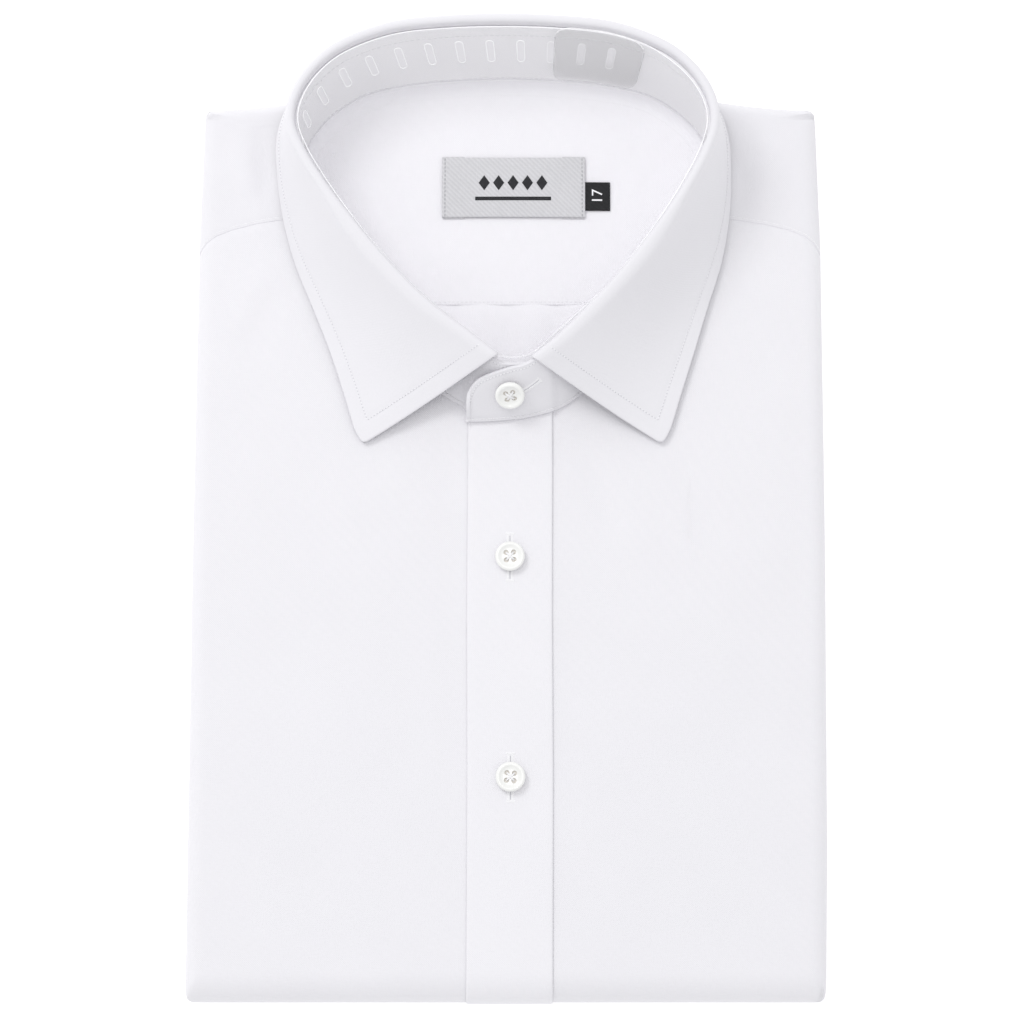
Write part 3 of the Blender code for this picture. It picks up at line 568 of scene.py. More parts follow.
# %% Creases of the body
CREASES = (
    # start x, y; end x, y; half width; height; bow
    (-108, 158, -92, 104, 5.5, 0.9, 3),
    (-101, 160, -98, 122, 4.5, -0.8, -2),
    (-120, 140, -96, 128, 7, 0.5, 1.5),
    (96, 158, 90, 108, 5, -0.9, -2.5),
    (108, 156, 100, 112, 7, 0.6, 3),
    (-88, 96, -101, 52, 7, -0.5, 4),
    (-96, 104, -112, 66, 6, 0.45, -3),
    (88, 92, 104, 44, 7, -0.5, -4),
    (-62, 22, -44, -18, 6, -0.45, 3),
    (-50, 26, -24, -6, 5, 0.4, 2),
    (-30, 32, -20, 0, 5, -0.5, -1),
    (30, 30, 46, -14, 5, -0.5, 3),
    (52, 20, 74, -22, 4.5, 0.45, -2),
    (60, 24, 86, -10, 5, -0.4, 2),
    (44, 24, 60, -30, 6, 0.35, 2),
    (-112, 20, -40, 2, 12, 0.4, 5),
    (-104, -40, -52, -62, 14, -0.35, -5),
    (-90, -84, -34, -74, 13, 0.35, 4),
    (-114, -120, -60, -146, 12, -0.35, 3),
    (36, -44, 104, -58, 13, 0.4, -4),
    (44, -92, 112, -78, 12, -0.35, 5),
    (30, -140, 92, -156, 13, 0.35, -3),
    (-116, 60, -118, -120, 9, -0.35, 3),
    (114, 70, 113, -150, 9, -0.4, -3),
    (-22, 20, -21, -170, 5, -0.25, 1),
    (22, 20, 21, -174, 5, -0.25, -1),
)
EASE_OUT = 0.32  # share of a crease's length over which it fades at each end


def crease_height(x, y, creases):
    """Sum of soft ridges and troughs at places on the cloth."""
    total = np.zeros(np.broadcast(x, y).shape)
    for x0, y0, x1, y1, width, height, bow in creases:
        length = math.hypot(x1 - x0, y1 - y0)
        along = ((x - x0) * (x1 - x0) + (y - y0) * (y1 - y0)) / length**2
        across = ((x - x0) * (y1 - y0) - (y - y0) * (x1 - x0)) / length
        across = across - bow * 4.0 * along * (1.0 - along)
        fade = smoothstep(along / EASE_OUT) * smoothstep((1.0 - along) / EASE_OUT)
        total += height * fade * np.exp(-((across / width) ** 2))
    return total


def ripple(x, y):
    """A broad unevenness of the parcel, from the layers folded inside it."""
    return 0.16 * np.sin(x / 19.0 + 0.7) * np.sin(y / 27.0) + 0.12 * np.sin(x / 11.0 - y / 33.0)


print("creases on the body:", len(CREASES))

# %% Carry flat cloth onto the folded form
UNDER_TURN_FADE = 0.8  # the cloth turns right under except at the corners


def neck_distance(x, y):
    """Distance in plan from the neck seam."""
    flat = np.stack([np.ravel(x), np.ravel(y)], axis=1)
    nearest = np.full(len(flat), np.inf)
    for start, end in zip(NECK_LINE, NECK_LINE[1:]):
        step = end - start
        along = np.clip(((flat - start) @ step) / (step @ step), 0.0, 1.0)
        gap = flat - start - along[:, None] * step
        nearest = np.minimum(nearest, np.hypot(gap[:, 0], gap[:, 1]))
    return nearest.reshape(np.shape(x))


def shoulder_edge(x):
    return SHOULDER_Y + BACK_NECK_RISE * np.exp(-((np.asarray(x) / BACK_NECK_SPREAD) ** 2))


def pile_height(x, y):
    rise = smoothstep((150.0 - y) / 190.0)
    return SHOULDER_HEIGHT + (BODY_HEIGHT - SHOULDER_HEIGHT) * rise + CROWN * (1.0 - (x / 124.0) ** 2)


def neck_lift(x, y):
    return NECK_LIFT * np.exp(-((neck_distance(x, y) / NECK_LIFT_REACH) ** 2))


def face_height(x, y, creased=True):
    height = pile_height(x, y) + neck_lift(x, y)
    return height + crease_height(x, y, CREASES) + ripple(x, y) if creased else height


def flat_limits(y, x):
    left = table_value(SIDE_EDGES, y, 1) + SIDE_ROLL
    right = table_value(SIDE_EDGES, y, 2) - SIDE_ROLL
    return left, right, BOTTOM_Y + BOTTOM_ROLL, shoulder_edge(x) - SHOULDER_ROLL


def cover(p, q, depth=0.0):
    """Points on the folded form, a depth below its outer face, for places p and q on the flat cloth."""
    p, q, depth = np.broadcast_arrays(np.asarray(p, float), np.asarray(q, float), np.asarray(depth, float))
    left, right, bottom, shoulder = flat_limits(q, p)
    x, y = np.clip(p, left, right), np.clip(q, bottom, shoulder)
    over_x, over_y = p - x, q - y
    end_roll = np.where(over_y < 0, BOTTOM_ROLL, SHOULDER_ROLL)
    u, v = np.abs(over_x) / SIDE_ROLL, np.abs(over_y) / end_roll
    power = u**CORNER_SQUARENESS + v**CORNER_SQUARENESS
    flat = power == 0.0
    power = np.where(flat, 1.0, power)
    turn = power ** (1.0 / CORNER_SQUARENESS)
    sideways = np.where(flat, 0.0, u**CORNER_SQUARENESS / power)
    corner = smoothstep(u / UNDER_TURN_FADE)
    end_turn = ROLL_TURN * corner + math.pi * (1.0 - corner)
    end_low = WRAP_END_HEIGHT * corner + UNDERSIDE * (1.0 - corner)
    top = face_height(x, y)
    low = sideways * GROOVE_SHARE * top + (1.0 - sideways) * end_low
    last = sideways * ROLL_TURN + (1.0 - sideways) * end_turn
    radius_z = (top - low) / (1.0 - np.cos(last))
    angle = np.where(flat, 0.0, np.minimum(turn, last))
    beyond = np.where(flat, 0.0, np.maximum(turn - last, 0.0)) * end_roll * (1.0 - sideways)
    reach = np.sin(angle)
    out_x = (SIDE_ROLL - depth) * reach * u / turn
    out_y = (end_roll - depth) * reach * v / turn - beyond
    z = top - radius_z + (radius_z - depth) * np.cos(angle)
    return np.stack([x + np.sign(over_x) * out_x, y + np.sign(over_y) * out_y, z], axis=-1)


print("height at the middle of the chest: %.1f mm" % face_height(np.array(40.0), np.array(-20.0)))

# %% [markdown]
# From points to cloth
#
# Every cloth piece is a grid of points on its outer face. The helper below makes the faces, keeps the flat
# coordinates as a UV map for the weave, gives the sheet its thickness inwards with Solidify and rounds the
# cut edge with Bevel. The modifiers are applied.

# %% Helpers that make meshes


def grid_normals(grid):
    """Unit normals of a grid of points, from the way its rows and columns run."""
    down = np.gradient(grid, axis=0)
    across = np.gradient(grid, axis=1)
    normal = np.cross(down, across)
    size = np.linalg.norm(normal, axis=-1, keepdims=True)
    return normal / np.maximum(size, 1e-9)


def upward_normals(grid):
    normals = grid_normals(grid)
    return normals * np.where(normals[..., 2:] < 0.0, -1.0, 1.0)


def apply_modifiers(thing):
    """Swap a piece's mesh for what its modifiers make of it."""
    graph = bpy.context.evaluated_depsgraph_get()
    evaluated = thing.evaluated_get(graph)
    mesh = bpy.data.meshes.new_from_object(evaluated, preserve_all_data_layers=True, depsgraph=graph)
    thing.modifiers.clear()
    thing.data = mesh
    mesh.name = thing.name
    return thing


def mesh_of_curve(thing):
    """Make a mesh of a curve or a text, and take the curve away."""
    graph = bpy.context.evaluated_depsgraph_get()
    mesh = bpy.data.meshes.new_from_object(thing.evaluated_get(graph), depsgraph=graph)
    bpy.data.objects.remove(thing)
    mesh.materials.clear()
    return mesh


def sheet_mesh(name, grid, flat, finish, flip=False):
    rows, columns = grid.shape[:2]
    index = np.arange(rows * columns).reshape(rows, columns)
    corners = [index[:-1, :-1], index[1:, :-1], index[1:, 1:], index[:-1, 1:]]
    faces = np.stack(corners, axis=-1).reshape(-1, 4)
    if flip:
        faces = faces[:, ::-1]
    mesh = bpy.data.meshes.new(name)
    mesh.from_pydata((grid.reshape(-1, 3) * MM).tolist(), [], faces.tolist())
    corners = np.empty(len(mesh.loops), dtype=np.int32)
    mesh.loops.foreach_get("vertex_index", corners)
    layer = mesh.uv_layers.new(name="cloth")
    layer.data.foreach_set("uv", (flat.reshape(-1, 2)[corners] * MM).ravel())
    mesh.materials.append(finish)
    mesh.shade_smooth()
    return mesh


def modify(thing, kind, **settings):
    made = thing.modifiers.new(kind.lower(), kind)
    for part, value in settings.items():
        setattr(made, part, value)


def round_edges(thing, width, segments, angle):
    angle = math.radians(angle)
    modify(thing, "BEVEL", width=width * MM, segments=segments, limit_method="ANGLE", angle_limit=angle)


def add_wall(thing, wall, rim_segments=2, even=True):
    inwards = {"offset": -1.0, "use_even_offset": even, "use_quality_normals": True}
    modify(thing, "SOLIDIFY", thickness=wall * MM, **inwards)
    round_edges(thing, 0.42 * wall, rim_segments, 60)
    return apply_modifiers(thing)


def cloth_piece(name, grid, flat, wall, finish, flip=False, even=True):
    """A thin sheet of cloth with a rounded edge, its outer face on the grid."""
    mesh = sheet_mesh(name, grid, flat, finish, flip)
    faces = mesh.polygons
    upward = sum(face.area for face in faces if face.normal.z > 0) / sum(face.area for face in faces)
    thing = add_wall(link(name, mesh), wall, even=even)
    print("%-18s %6d faces, %3.0f %% of the sheet faces up" % (name, len(thing.data.polygons), 100 * upward))
    return thing


def steps(start, end, spacing):
    return np.linspace(start, end, max(2, round(abs(end - start) / spacing) + 1))


def dent(grid, normals, path, depth, width):
    """Press a soft groove into a grid of points along a line, as a row of stitches does."""
    flat = grid.reshape(-1, 3)
    nearest = np.full(len(flat), np.inf)
    for block in np.array_split(path, max(1, len(path) // 40)):
        nearest = np.minimum(nearest, gaps_to(flat, block))
    push = depth * np.exp(-((nearest / width) ** 2)).reshape(grid.shape[:2])
    return grid - normals * push[..., None]


# %% [markdown]
# The fronts
#
# Each front is one panel: from under the placket to the side fold, and from the neck and yoke seams to the
# bottom, where it turns right under the parcel. At the yoke it slips under the yoke's folded edge, so it
# drops by a little more than the cloth's thickness just before the seam.

# %% Fronts
FRONT_SPACING = 1.7
HIDDEN_SPACING = 3.5
SEAM_DIP = 0.22
SEAM_DIP_RUN = 2.0
TUCK_DEPTH = 0.75
UNDER_YOKE = 5.0
UNDER_PLACKET_X = 15.0  # up to here the front lies under the placket and needs few points
FOLD_POINTS = 16
UNDER_POINTS = 10


def yoke_seam_y(x):
    return table_value(YOKE_SEAM, np.abs(x))


def half_neck(side):
    third = len(NECK_LINE) // 3
    return NECK_LINE[:third] if side > 0 else NECK_LINE[::-1][:third]


def front_neck_y(x, side):
    line = half_neck(side)
    return np.interp(np.abs(x), np.abs(line[:, 0]), line[:, 1])


def front_grid(side):
    left, right = flat_limits(0.0, 0.0)[:2]
    flat_end = right if side > 0 else -left
    start = FRONT_MEETING_X * side
    hidden = steps(start + 0.15, UNDER_PLACKET_X, HIDDEN_SPACING)
    shown = np.concatenate([hidden, steps(UNDER_PLACKET_X + 1.0, flat_end, FRONT_SPACING)])
    folded = flat_end + SIDE_ROLL * ROLL_TURN * np.arange(1, FOLD_POINTS + 1) / FOLD_POINTS
    p = side * np.concatenate([shown, folded])
    neck = front_neck_y(p, side)
    seam = yoke_seam_y(p)
    line = half_neck(side)
    join = np.interp(YOKE_SEAM[0][1], line[:, 1], np.abs(line[:, 0]))
    tucked = seam + UNDER_YOKE * smoothstep((np.abs(p) - join - 0.5) / 5.0)
    top = np.where(np.abs(p) < join, np.minimum(neck, seam), tucked)
    flat_bottom = BOTTOM_Y + BOTTOM_ROLL
    corner = smoothstep(np.maximum(np.abs(p) - flat_end, 0.0) / SIDE_ROLL / UNDER_TURN_FADE)
    turn = ROLL_TURN * corner + (math.pi + UNDER_RUN / BOTTOM_ROLL) * (1.0 - corner)
    share = shares(round((110.0 - flat_bottom) / FRONT_SPACING))
    down = top[:, None] + (flat_bottom - top[:, None]) * share[None, :]
    round_share = shares(FOLD_POINTS + UNDER_POINTS + 1)[1:]
    under = flat_bottom - BOTTOM_ROLL * turn[:, None] * round_share[None, :]
    q = np.concatenate([down, under], axis=1)
    p = np.broadcast_to(p[:, None], q.shape)
    past_seam = q - seam[:, None]
    tuck = SEAM_DIP * smoothstep(1.0 + past_seam / SEAM_DIP_RUN)
    tuck += (TUCK_DEPTH - SEAM_DIP) * smoothstep(past_seam / SEAM_DIP_RUN)
    depth = tuck * smoothstep((np.abs(p) - join + 1.0) / 2.0)
    return cover(p, q, depth), np.stack([p, q], axis=-1)


fronts, front_flats = [], []
for name, side in (("front_left_cloth", 1), ("front_right_cloth", -1)):
    grid, flat = front_grid(side)
    front_flats.append(flat)
    fronts.append(cloth_piece(name, grid, flat, WALL, shirt_cloth, flip=side > 0, even=False))

# %% [markdown]
# The placket
#
# The placket is a separate strip with both long edges folded under, so it stands proud of the fronts and its
# edges are round. Two pressed edges make a soft light line on the lit side and a fine dark line on the other.

# %% Placket
PLACKET_SHOWN = 1.15  # how far its face stands above the fronts
PLACKET_EDGE_ROUND = 0.75
PLACKET_TOP_TUCK = 0.6  # its end goes under the band
PLACKET_ROWS = 130
PLACKET_PLAY = (
    # y, sideways wander of the placket's edges
    (60, 0),
    (20, 0.1),
    (-40, -0.15),
    (-100, 0.1),
    (-190, -0.2),
)


def placket_grid():
    half = 0.5 * PLACKET_WIDTH
    turns = np.radians([0, 25, 50, 70, 90])
    turned = half - PLACKET_EDGE_ROUND * (1.0 - np.sin(turns))
    edge = np.concatenate([-turned[::-1], steps(-half + 2.2, half - 2.2, 1.3), turned])
    drop = PLACKET_EDGE_ROUND * (1.0 - np.cos(turns))
    low = np.concatenate([drop[::-1], np.zeros(len(edge) - 2 * len(drop)), drop])
    flat_bottom = BOTTOM_Y + BOTTOM_ROLL
    top = front_neck_y(edge, 1) + PLACKET_TOP_TUCK
    share = shares(PLACKET_ROWS)
    down = top[:, None] + (flat_bottom - top[:, None]) * share[None, :]
    turn = math.pi + UNDER_RUN / BOTTOM_ROLL
    round_share = shares(FOLD_POINTS + UNDER_POINTS + 1)[1:]
    under = flat_bottom - BOTTOM_ROLL * turn * round_share
    q = np.concatenate([down, np.broadcast_to(under, (len(edge), len(under)))], axis=1)
    p = edge[:, None] + table_value(PLACKET_PLAY, q)
    thick = PLACKET_SHOWN - low[:, None]
    lift = thick * smoothstep((q - (BOTTOM_Y - 16.0)) / 20.0)
    return cover(p, q, -lift), np.stack([p, q], axis=-1)


grid, placket_flat = placket_grid()
placket = cloth_piece("placket_cloth", grid, placket_flat, WALL, placket_cloth, flip=True)

# %% [markdown]
# The yoke
#
# The yoke goes from the neck seam over both shoulders and down behind them. Its lines fan out from the neck,
# so the grid does too: one line for each place on the neck seam, ending on the folded edge. Its front edge is
# folded under and stitched down a little way in, which leaves a groove.

# %% Yoke
YOKE_NEAR_SEAM = (0.0, 0.6, 1.1, 1.6, 2.2, 3.0, 4.0, 5.5)  # first lines, mm from the seam along the neck
YOKE_LINES = 64
YOKE_STITCH_IN = 1.1
YOKE_STITCH_X = (77.5, 124.0)
YOKE_TOP_POINTS, YOKE_FOLD_POINTS = 26, 17
GROOVE_WIDTH = 0.8  # of the dent that a row of stitches pulls into the cloth


def yoke_neck(side):
    middle = len(NECK_LINE) // 2
    line = NECK_LINE[: middle + 1] if side > 0 else NECK_LINE[middle:][::-1]
    return line[line[:, 1] > YOKE_SEAM[0][1] - 0.4]


def yoke_shares(start, end, flat_x):
    """Shares of the way along one line: the flat top, then the turn round the fold."""
    across = (flat_x - start[0]) / (end[0] - start[0]) if abs(end[0]) > abs(flat_x) else 1.0
    high = shoulder_edge(end[0]) - SHOULDER_ROLL
    upward = (high - start[1]) / (end[1] - start[1]) if end[1] > high else 1.0
    flat = max(0.1, min(across, upward))
    round_fold = flat + (1.0 - flat) * shares(YOKE_FOLD_POINTS)[1:]
    return np.concatenate([flat * shares(YOKE_TOP_POINTS), round_fold])


def yoke_side(side):
    left, right = flat_limits(SHOULDER_Y, 0.0)[:2]
    flat_x = right if side > 0 else -left
    neck = yoke_neck(side)
    run = run_along(neck)
    near = np.array(YOKE_NEAR_SEAM)
    distances = np.concatenate([near, np.linspace(near[-1], run[-1], YOKE_LINES)[1:]])
    wrap_x = flat_x + SIDE_ROLL * ROLL_TURN
    lines = []
    for distance in distances:
        share = distance / run[-1]
        start = np.array([np.interp(distance, run, neck[:, 0]), np.interp(distance, run, neck[:, 1])])
        if share <= YOKE_CORNER:
            up = share / YOKE_CORNER
            top = shoulder_edge(wrap_x) + SHOULDER_ROLL * (ROLL_TURN - 1.0)
            end = np.array([side * wrap_x, (1.0 - up) * yoke_seam_y(wrap_x) + up * top])
        else:
            x = side * wrap_x * (1.0 - share) / (1.0 - YOKE_CORNER)
            end = np.array([x, shoulder_edge(x) + SHOULDER_ROLL * (ROLL_TURN - 1.0)])
        t = yoke_shares(start, end, side * flat_x)[:, None]
        line = start + (end - start) * t
        near_seam = 1.0 - smoothstep(distance / YOKE_NEAR_SEAM[-1] / 2.0)
        bow = yoke_seam_y(line[:, 0]) - (neck[0, 1] + (yoke_seam_y(wrap_x) - neck[0, 1]) * t[:, 0])
        line[:, 1] += bow * near_seam
        lines.append(line)
    return np.array(lines)


right_yoke, left_yoke = yoke_side(1), yoke_side(-1)
yoke_flat = np.concatenate([right_yoke, left_yoke[-2::-1]])
yoke_grid = cover(yoke_flat[..., 0], yoke_flat[..., 1])
yoke_stitch_lines = []
for side in (1, -1):
    x = side * steps(*YOKE_STITCH_X, 1.2)
    path = cover(x, yoke_seam_y(x) + YOKE_STITCH_IN)
    yoke_stitch_lines.append(path)
    yoke_grid = dent(yoke_grid, -grid_normals(yoke_grid), path, 0.16, GROOVE_WIDTH)
yoke = cloth_piece("yoke_cloth", yoke_grid, yoke_flat, WALL, collar_cloth, flip=True)

# %% [markdown]
# Inside the neck
#
# Through the open neck the inside of the back shows: the inner yoke, and below its seam a strip of the back
# with two soft pleats. Both are flat sheets a layer deeper than the fronts, in a lighter copy of the shirt's
# cloth: painted light that makes up for the shade in the neck. The inner yoke's lower edge is folded and
# stitched, and lies over the back.

# %% Inner layers
LINING_CREASES = (
    # start x, y; end x, y; half width; height; bow
    (-52, 150, -30, 92, 8, -0.4, 4),
    (-20, 116, 22, 108, 7, 0.3, -3),
    (46, 150, 24, 98, 8, -0.35, -4),
    (6, 168, 10, 140, 9, -0.3, 2),
    (-38, 112, -12, 92, 6, 0.3, 2),
)
BACK_PLEATS = (
    # start x, y; end x, y; half width; height; bow
    (-22, 96, -21, 20, 3.2, -0.55, 0.6),
    (-11, 96, -10, 20, 3.8, 0.5, 0.5),
    (-1, 96, 0, 20, 3, -0.5, 0.4),
    (9, 96, 9, 20, 4.2, 0.45, -0.6),
    (18, 96, 19, 20, 3, -0.6, 0.4),
    (29, 96, 28, 20, 3.5, 0.4, 0.5),
)
INNER_SEAM_LAP = 7.0
INNER_SEAM_DROP = 0.3
INNER_STITCH_IN = 1.2


def inner_height(x, y):
    rise = smoothstep((y - 96.0) / 30.0)
    height = pile_height(x, y) - LINING_DEPTH + neck_lift(x, y) * rise
    return height + crease_height(x, y, LINING_CREASES)


def flat_sheet(bottom, top, spacing, height):
    left, right = flat_limits(0.5 * (bottom + top), 0.0)[:2]
    x = steps(left - SIDE_ROLL + LINING_MARGIN, right + SIDE_ROLL - LINING_MARGIN, spacing)
    end = np.minimum(top, shoulder_edge(x) - SHOULDER_ROLL - 1.0)
    share = shares(round((top - bottom) / spacing))
    y = bottom + (end[:, None] - bottom) * share
    x = np.broadcast_to(x[:, None], y.shape)
    return np.stack([x, y, height(x, y)], axis=-1)


def back_height(x, y):
    pleats = crease_height(x, y, BACK_PLEATS)
    drop = INNER_SEAM_DROP * smoothstep((y - INNER_YOKE_SEAM_Y + 2.0) / 2.0)
    drop = drop + INNER_SEAM_DROP * smoothstep((y - INNER_YOKE_SEAM_Y) / 2.0)
    return pile_height(x, y) - LINING_DEPTH + pleats - drop


grid = flat_sheet(BOTTOM_Y + LINING_MARGIN, INNER_YOKE_SEAM_Y + INNER_SEAM_LAP, 2.2, back_height)
back_flat = grid[..., :2]
back = cloth_piece("back_cloth", grid, back_flat, WALL, inside_cloth)

grid = flat_sheet(INNER_YOKE_SEAM_Y, SHOULDER_Y + BACK_NECK_RISE, 1.5, inner_height)
x = steps(-60.0, 60.0, 1.2)
y = np.full(len(x), INNER_YOKE_SEAM_Y + INNER_STITCH_IN)
inner_stitch_line = np.stack([x, y, inner_height(x, y)], axis=1)
lining_flat = grid[..., :2]
grid = dent(grid, upward_normals(grid), inner_stitch_line, 0.14, GROOVE_WIDTH)
lining = cloth_piece("yoke_lining_cloth", grid, lining_flat, WALL, inside_cloth)

# %% [markdown]
# The folded layers below
#
# Sleeves, sides and tails are folded into one pile under the front. Only its edges show: two or three folds
# of cloth lying on each other between the front and the table. The pile is one closed form whose side is a
# stack of round folds that wander a little, as hand-folded cloth does.

# %% Pile of folded layers
LAYER_LOBES = (
    # reach as a share of the side roll, share of the height below the groove
    (0.30, 0.00),
    (0.66, 0.03),
    (0.80, 0.10),
    (0.84, 0.18),
    (0.76, 0.26),
    (0.52, 0.30),
    (0.44, 0.32),
    (0.60, 0.34),
    (0.80, 0.42),
    (0.86, 0.51),
    (0.78, 0.60),
    (0.52, 0.645),
    (0.44, 0.66),
    (0.62, 0.68),
    (0.84, 0.77),
    (0.90, 0.87),
    (0.80, 0.96),
    (0.56, 1.00),
)
PILE_GAP = 1.1  # between the outer cloth and the pile inside it, at the folds
PILE_TOP_DEPTH = 3.3  # of the pile's top below the outer face
PILE_BACK_Y = 172.0
PILE_SPACING = 4.0
UNDERSIDE_ROOM = 1.9  # the layers folded over the back lie in this height
END_RECESS = 3.0  # the pile stops this far inside the cloth that turns under at the bottom
PILE_MIDDLE = np.array([0.0, -12.0])
TOP_RING_SHARES = (0.3, 0.6, 0.85, 0.96)
LOW_RING_SHARES = (0.96, 0.7, 0.4)


def pile_stations():
    """Places round the parcel: where its flat top ends, and the way out of it."""
    bottom, high = BOTTOM_Y + BOTTOM_ROLL, SHOULDER_Y - SHOULDER_ROLL - 2.5
    corner = np.radians(90.0 * np.arange(1, 8) / 8)
    a, b = np.cos(corner), np.sin(corner)
    size = (a**CORNER_SQUARENESS + b**CORNER_SQUARENESS) ** (1 / CORNER_SQUARENESS)
    ways = list(zip(a / size, b / size))
    side_y = steps(bottom, high, PILE_SPACING)

    def edge(side, y):
        limits = flat_limits(y, 0.0)
        return limits[1] if side > 0 else limits[0]

    def across(y):
        return steps(edge(1, y), edge(-1, y), PILE_SPACING + 1.0)

    rows = [(edge(1, y), y, 1.0, 0.0) for y in side_y]
    rows += [(edge(1, high), high, out, up) for out, up in ways]
    rows += [(x, min(shoulder_edge(x) - SHOULDER_ROLL, PILE_BACK_Y), 0.0, 1.0) for x in across(high)]
    rows += [(edge(-1, high), high, -out, up) for out, up in ways[::-1]]
    rows += [(edge(-1, y), y, -1.0, 0.0) for y in side_y[::-1]]
    rows += [(edge(-1, bottom), bottom, -out, -up) for out, up in ways]
    rows += [(x, bottom, 0.0, -1.0) for x in across(bottom)[::-1]]
    rows += [(edge(1, bottom), bottom, out, -up) for out, up in ways[::-1]]
    return np.array(rows)


def pile_profile(x, y, out, up, order):
    top = pile_height(x, y) - PILE_TOP_DEPTH
    sideways = abs(out) ** CORNER_SQUARENESS
    groove = GROOVE_SHARE * pile_height(x, y)
    end_roll = BOTTOM_ROLL if up < 0 else SHOULDER_ROLL
    inner_x, inner_y = SIDE_ROLL - LINING_DEPTH - PILE_GAP, end_roll - LINING_DEPTH - PILE_GAP
    line = []
    for turn in np.linspace(0.2, ROLL_TURN, 7):
        drop = (top - groove) / (1.0 - math.cos(ROLL_TURN)) * (1.0 - math.cos(turn))
        line.append((x + inner_x * math.sin(turn) * out, y + inner_y * math.sin(turn) * up, top - drop))
    wander = 0.25 * math.sin(0.31 * order) + 0.2 * math.sin(0.83 * order + 1.0)
    for k, (reach, down) in enumerate(LAYER_LOBES):
        shift = wander * math.cos(1.9 * k)
        side_out = SIDE_ROLL * reach + shift * 0.6
        end_out = end_roll - END_RECESS - 1.2 * (1.0 - reach)
        z = (groove - 0.6) * (1.0 - down)
        step = sideways * side_out + (1.0 - sideways) * end_out
        line.append((x + step * out, y + end_out * up * (1.0 - sideways) + step * up * sideways, z))
    return line


def closed_mesh(name, rings, finish):
    """Rings of points joined into one closed form, with a flat fan at each end."""
    count = len(rings[0])
    form = bmesh.new()
    loops = [[form.verts.new([value * MM for value in point]) for point in ring] for ring in rings]
    for upper, lower in zip(loops, loops[1:]):
        for k in range(count):
            n = (k + 1) % count
            form.faces.new((upper[k], lower[k], lower[n], upper[n]))
    for loop in (loops[0], loops[-1]):
        middle = sum((vert.co for vert in loop), Vector()) / count
        hub = form.verts.new(middle)
        for k in range(count):
            form.faces.new((hub, loop[k], loop[(k + 1) % count]))
    bmesh.ops.remove_doubles(form, verts=form.verts[:], dist=1e-6)
    bmesh.ops.recalc_face_normals(form, faces=form.faces[:])
    layer = form.loops.layers.uv.new("cloth")
    for face in form.faces:
        for corner in face.loops:
            place = corner.vert.co
            corner[layer].uv = (place.x + place.z, place.y + place.z)
    mesh = mesh_of(form, name, finish)
    mesh.shade_smooth()
    return link(name, mesh)


profiles = [pile_profile(*row, order) for order, row in enumerate(pile_stations())]
rings = []
for share in TOP_RING_SHARES:
    plan = PILE_MIDDLE + (np.array([line[0][:2] for line in profiles]) - PILE_MIDDLE) * share
    rings.append(np.column_stack([plan, pile_height(plan[:, 0], plan[:, 1]) - PILE_TOP_DEPTH]))
rings += [np.array([line[k] for line in profiles]) for k in range(len(profiles[0]))]
lowest = rings[-1] + 0.15 * UPWARD
rings[-1] = lowest
for share in LOW_RING_SHARES:
    plan = PILE_MIDDLE + (lowest[:, :2] - PILE_MIDDLE) * share
    rings.append(np.column_stack([plan, np.full(len(plan), UNDERSIDE_ROOM)]))
pile = closed_mesh("folded_pile", rings, shirt_cloth)
print("folded pile:", len(pile.data.polygons), "faces")

# %% [markdown]
# The side on the table
#
# Turned over, the parcel shows how it was folded: the two sides come in over the back, each with its sleeve
# laid down along it, and the tail is folded up last. Each is a thin sheet with a folded edge. They lie on
# each other within two millimetres, so the parcel still rests flat.

# %% Layers on the side that rests
RESTING = 0.12  # outer face of the lowest layer
LAYER_STEP = 0.42
UNDER_PANELS = (
    # name; four corners x, y; order from the table; phase of its soft wrinkles
    ("side_panel_left", ((-114, -176), (-114, 150), (-6, 148), (4, -176)), 2, 0),
    ("side_panel_right", ((114, -176), (114, 150), (12, 148), (-2, -176)), 3, 1.3),
    ("sleeve_left", ((-104, -150), (-96, 138), (-26, 142), (-40, -152)), 1, 2.1),
    ("sleeve_right", ((104, -148), (98, 140), (30, 140), (44, -150)), 1, 3.2),
    ("tail_flap", ((-112, -159), (-113, -104), (112, -110), (112, -159)), 0, 4.4),
)


def under_panel(corners, order, phase):
    """A sheet between four corners with soft wrinkles, kept inside the room under the pile."""
    a, b, c, d = np.array(corners)
    u, v = np.meshgrid(shares(44), shares(60), indexing="ij")
    u, v = u[..., None], v[..., None]
    plan = a * (1 - u) * (1 - v) + b * (1 - u) * v + c * u * v + d * u * (1 - v)
    x, y = plan[..., 0], plan[..., 1]
    edge = np.minimum(np.minimum(u, 1 - u), np.minimum(v, 1 - v))[..., 0]
    wave = np.sin(x / 13.0 + y / 41.0 + phase) + 0.7 * np.sin(y / 23.0 - x / 29.0 + 2.0 * phase)
    wave += 0.5 * np.sin((x + y) / 8.0 + 3.0 * phase)
    soft = 0.11 * (wave + 2.2) * smoothstep(edge / 0.12)
    round_edge = 0.25 * (1.0 - smoothstep(edge / 0.012))
    z = RESTING + LAYER_STEP * order + np.minimum(soft, 0.5 * LAYER_STEP) + round_edge
    return np.stack([x, y, z], axis=-1)


under_panels = []
for name, corners, order, phase in UNDER_PANELS:
    grid = under_panel(corners, order, phase)
    flip = bool(grid_normals(grid)[20, 20, 2] > 0.0)
    panel_flat = grid[..., :2]
    under_panels.append((cloth_piece(name, grid, panel_flat, 0.4, shirt_cloth, flip), panel_flat))

# %% [markdown]
# The collar band
#
# The band stands up from the neck seam all round, and its two ends lap at the front and are buttoned. The
# over end shows its rounded corner. The band is two layers with a stiff one between, so it is thicker than
# the shirt's cloth and its edges are round. A row of stitches runs close to its edges.

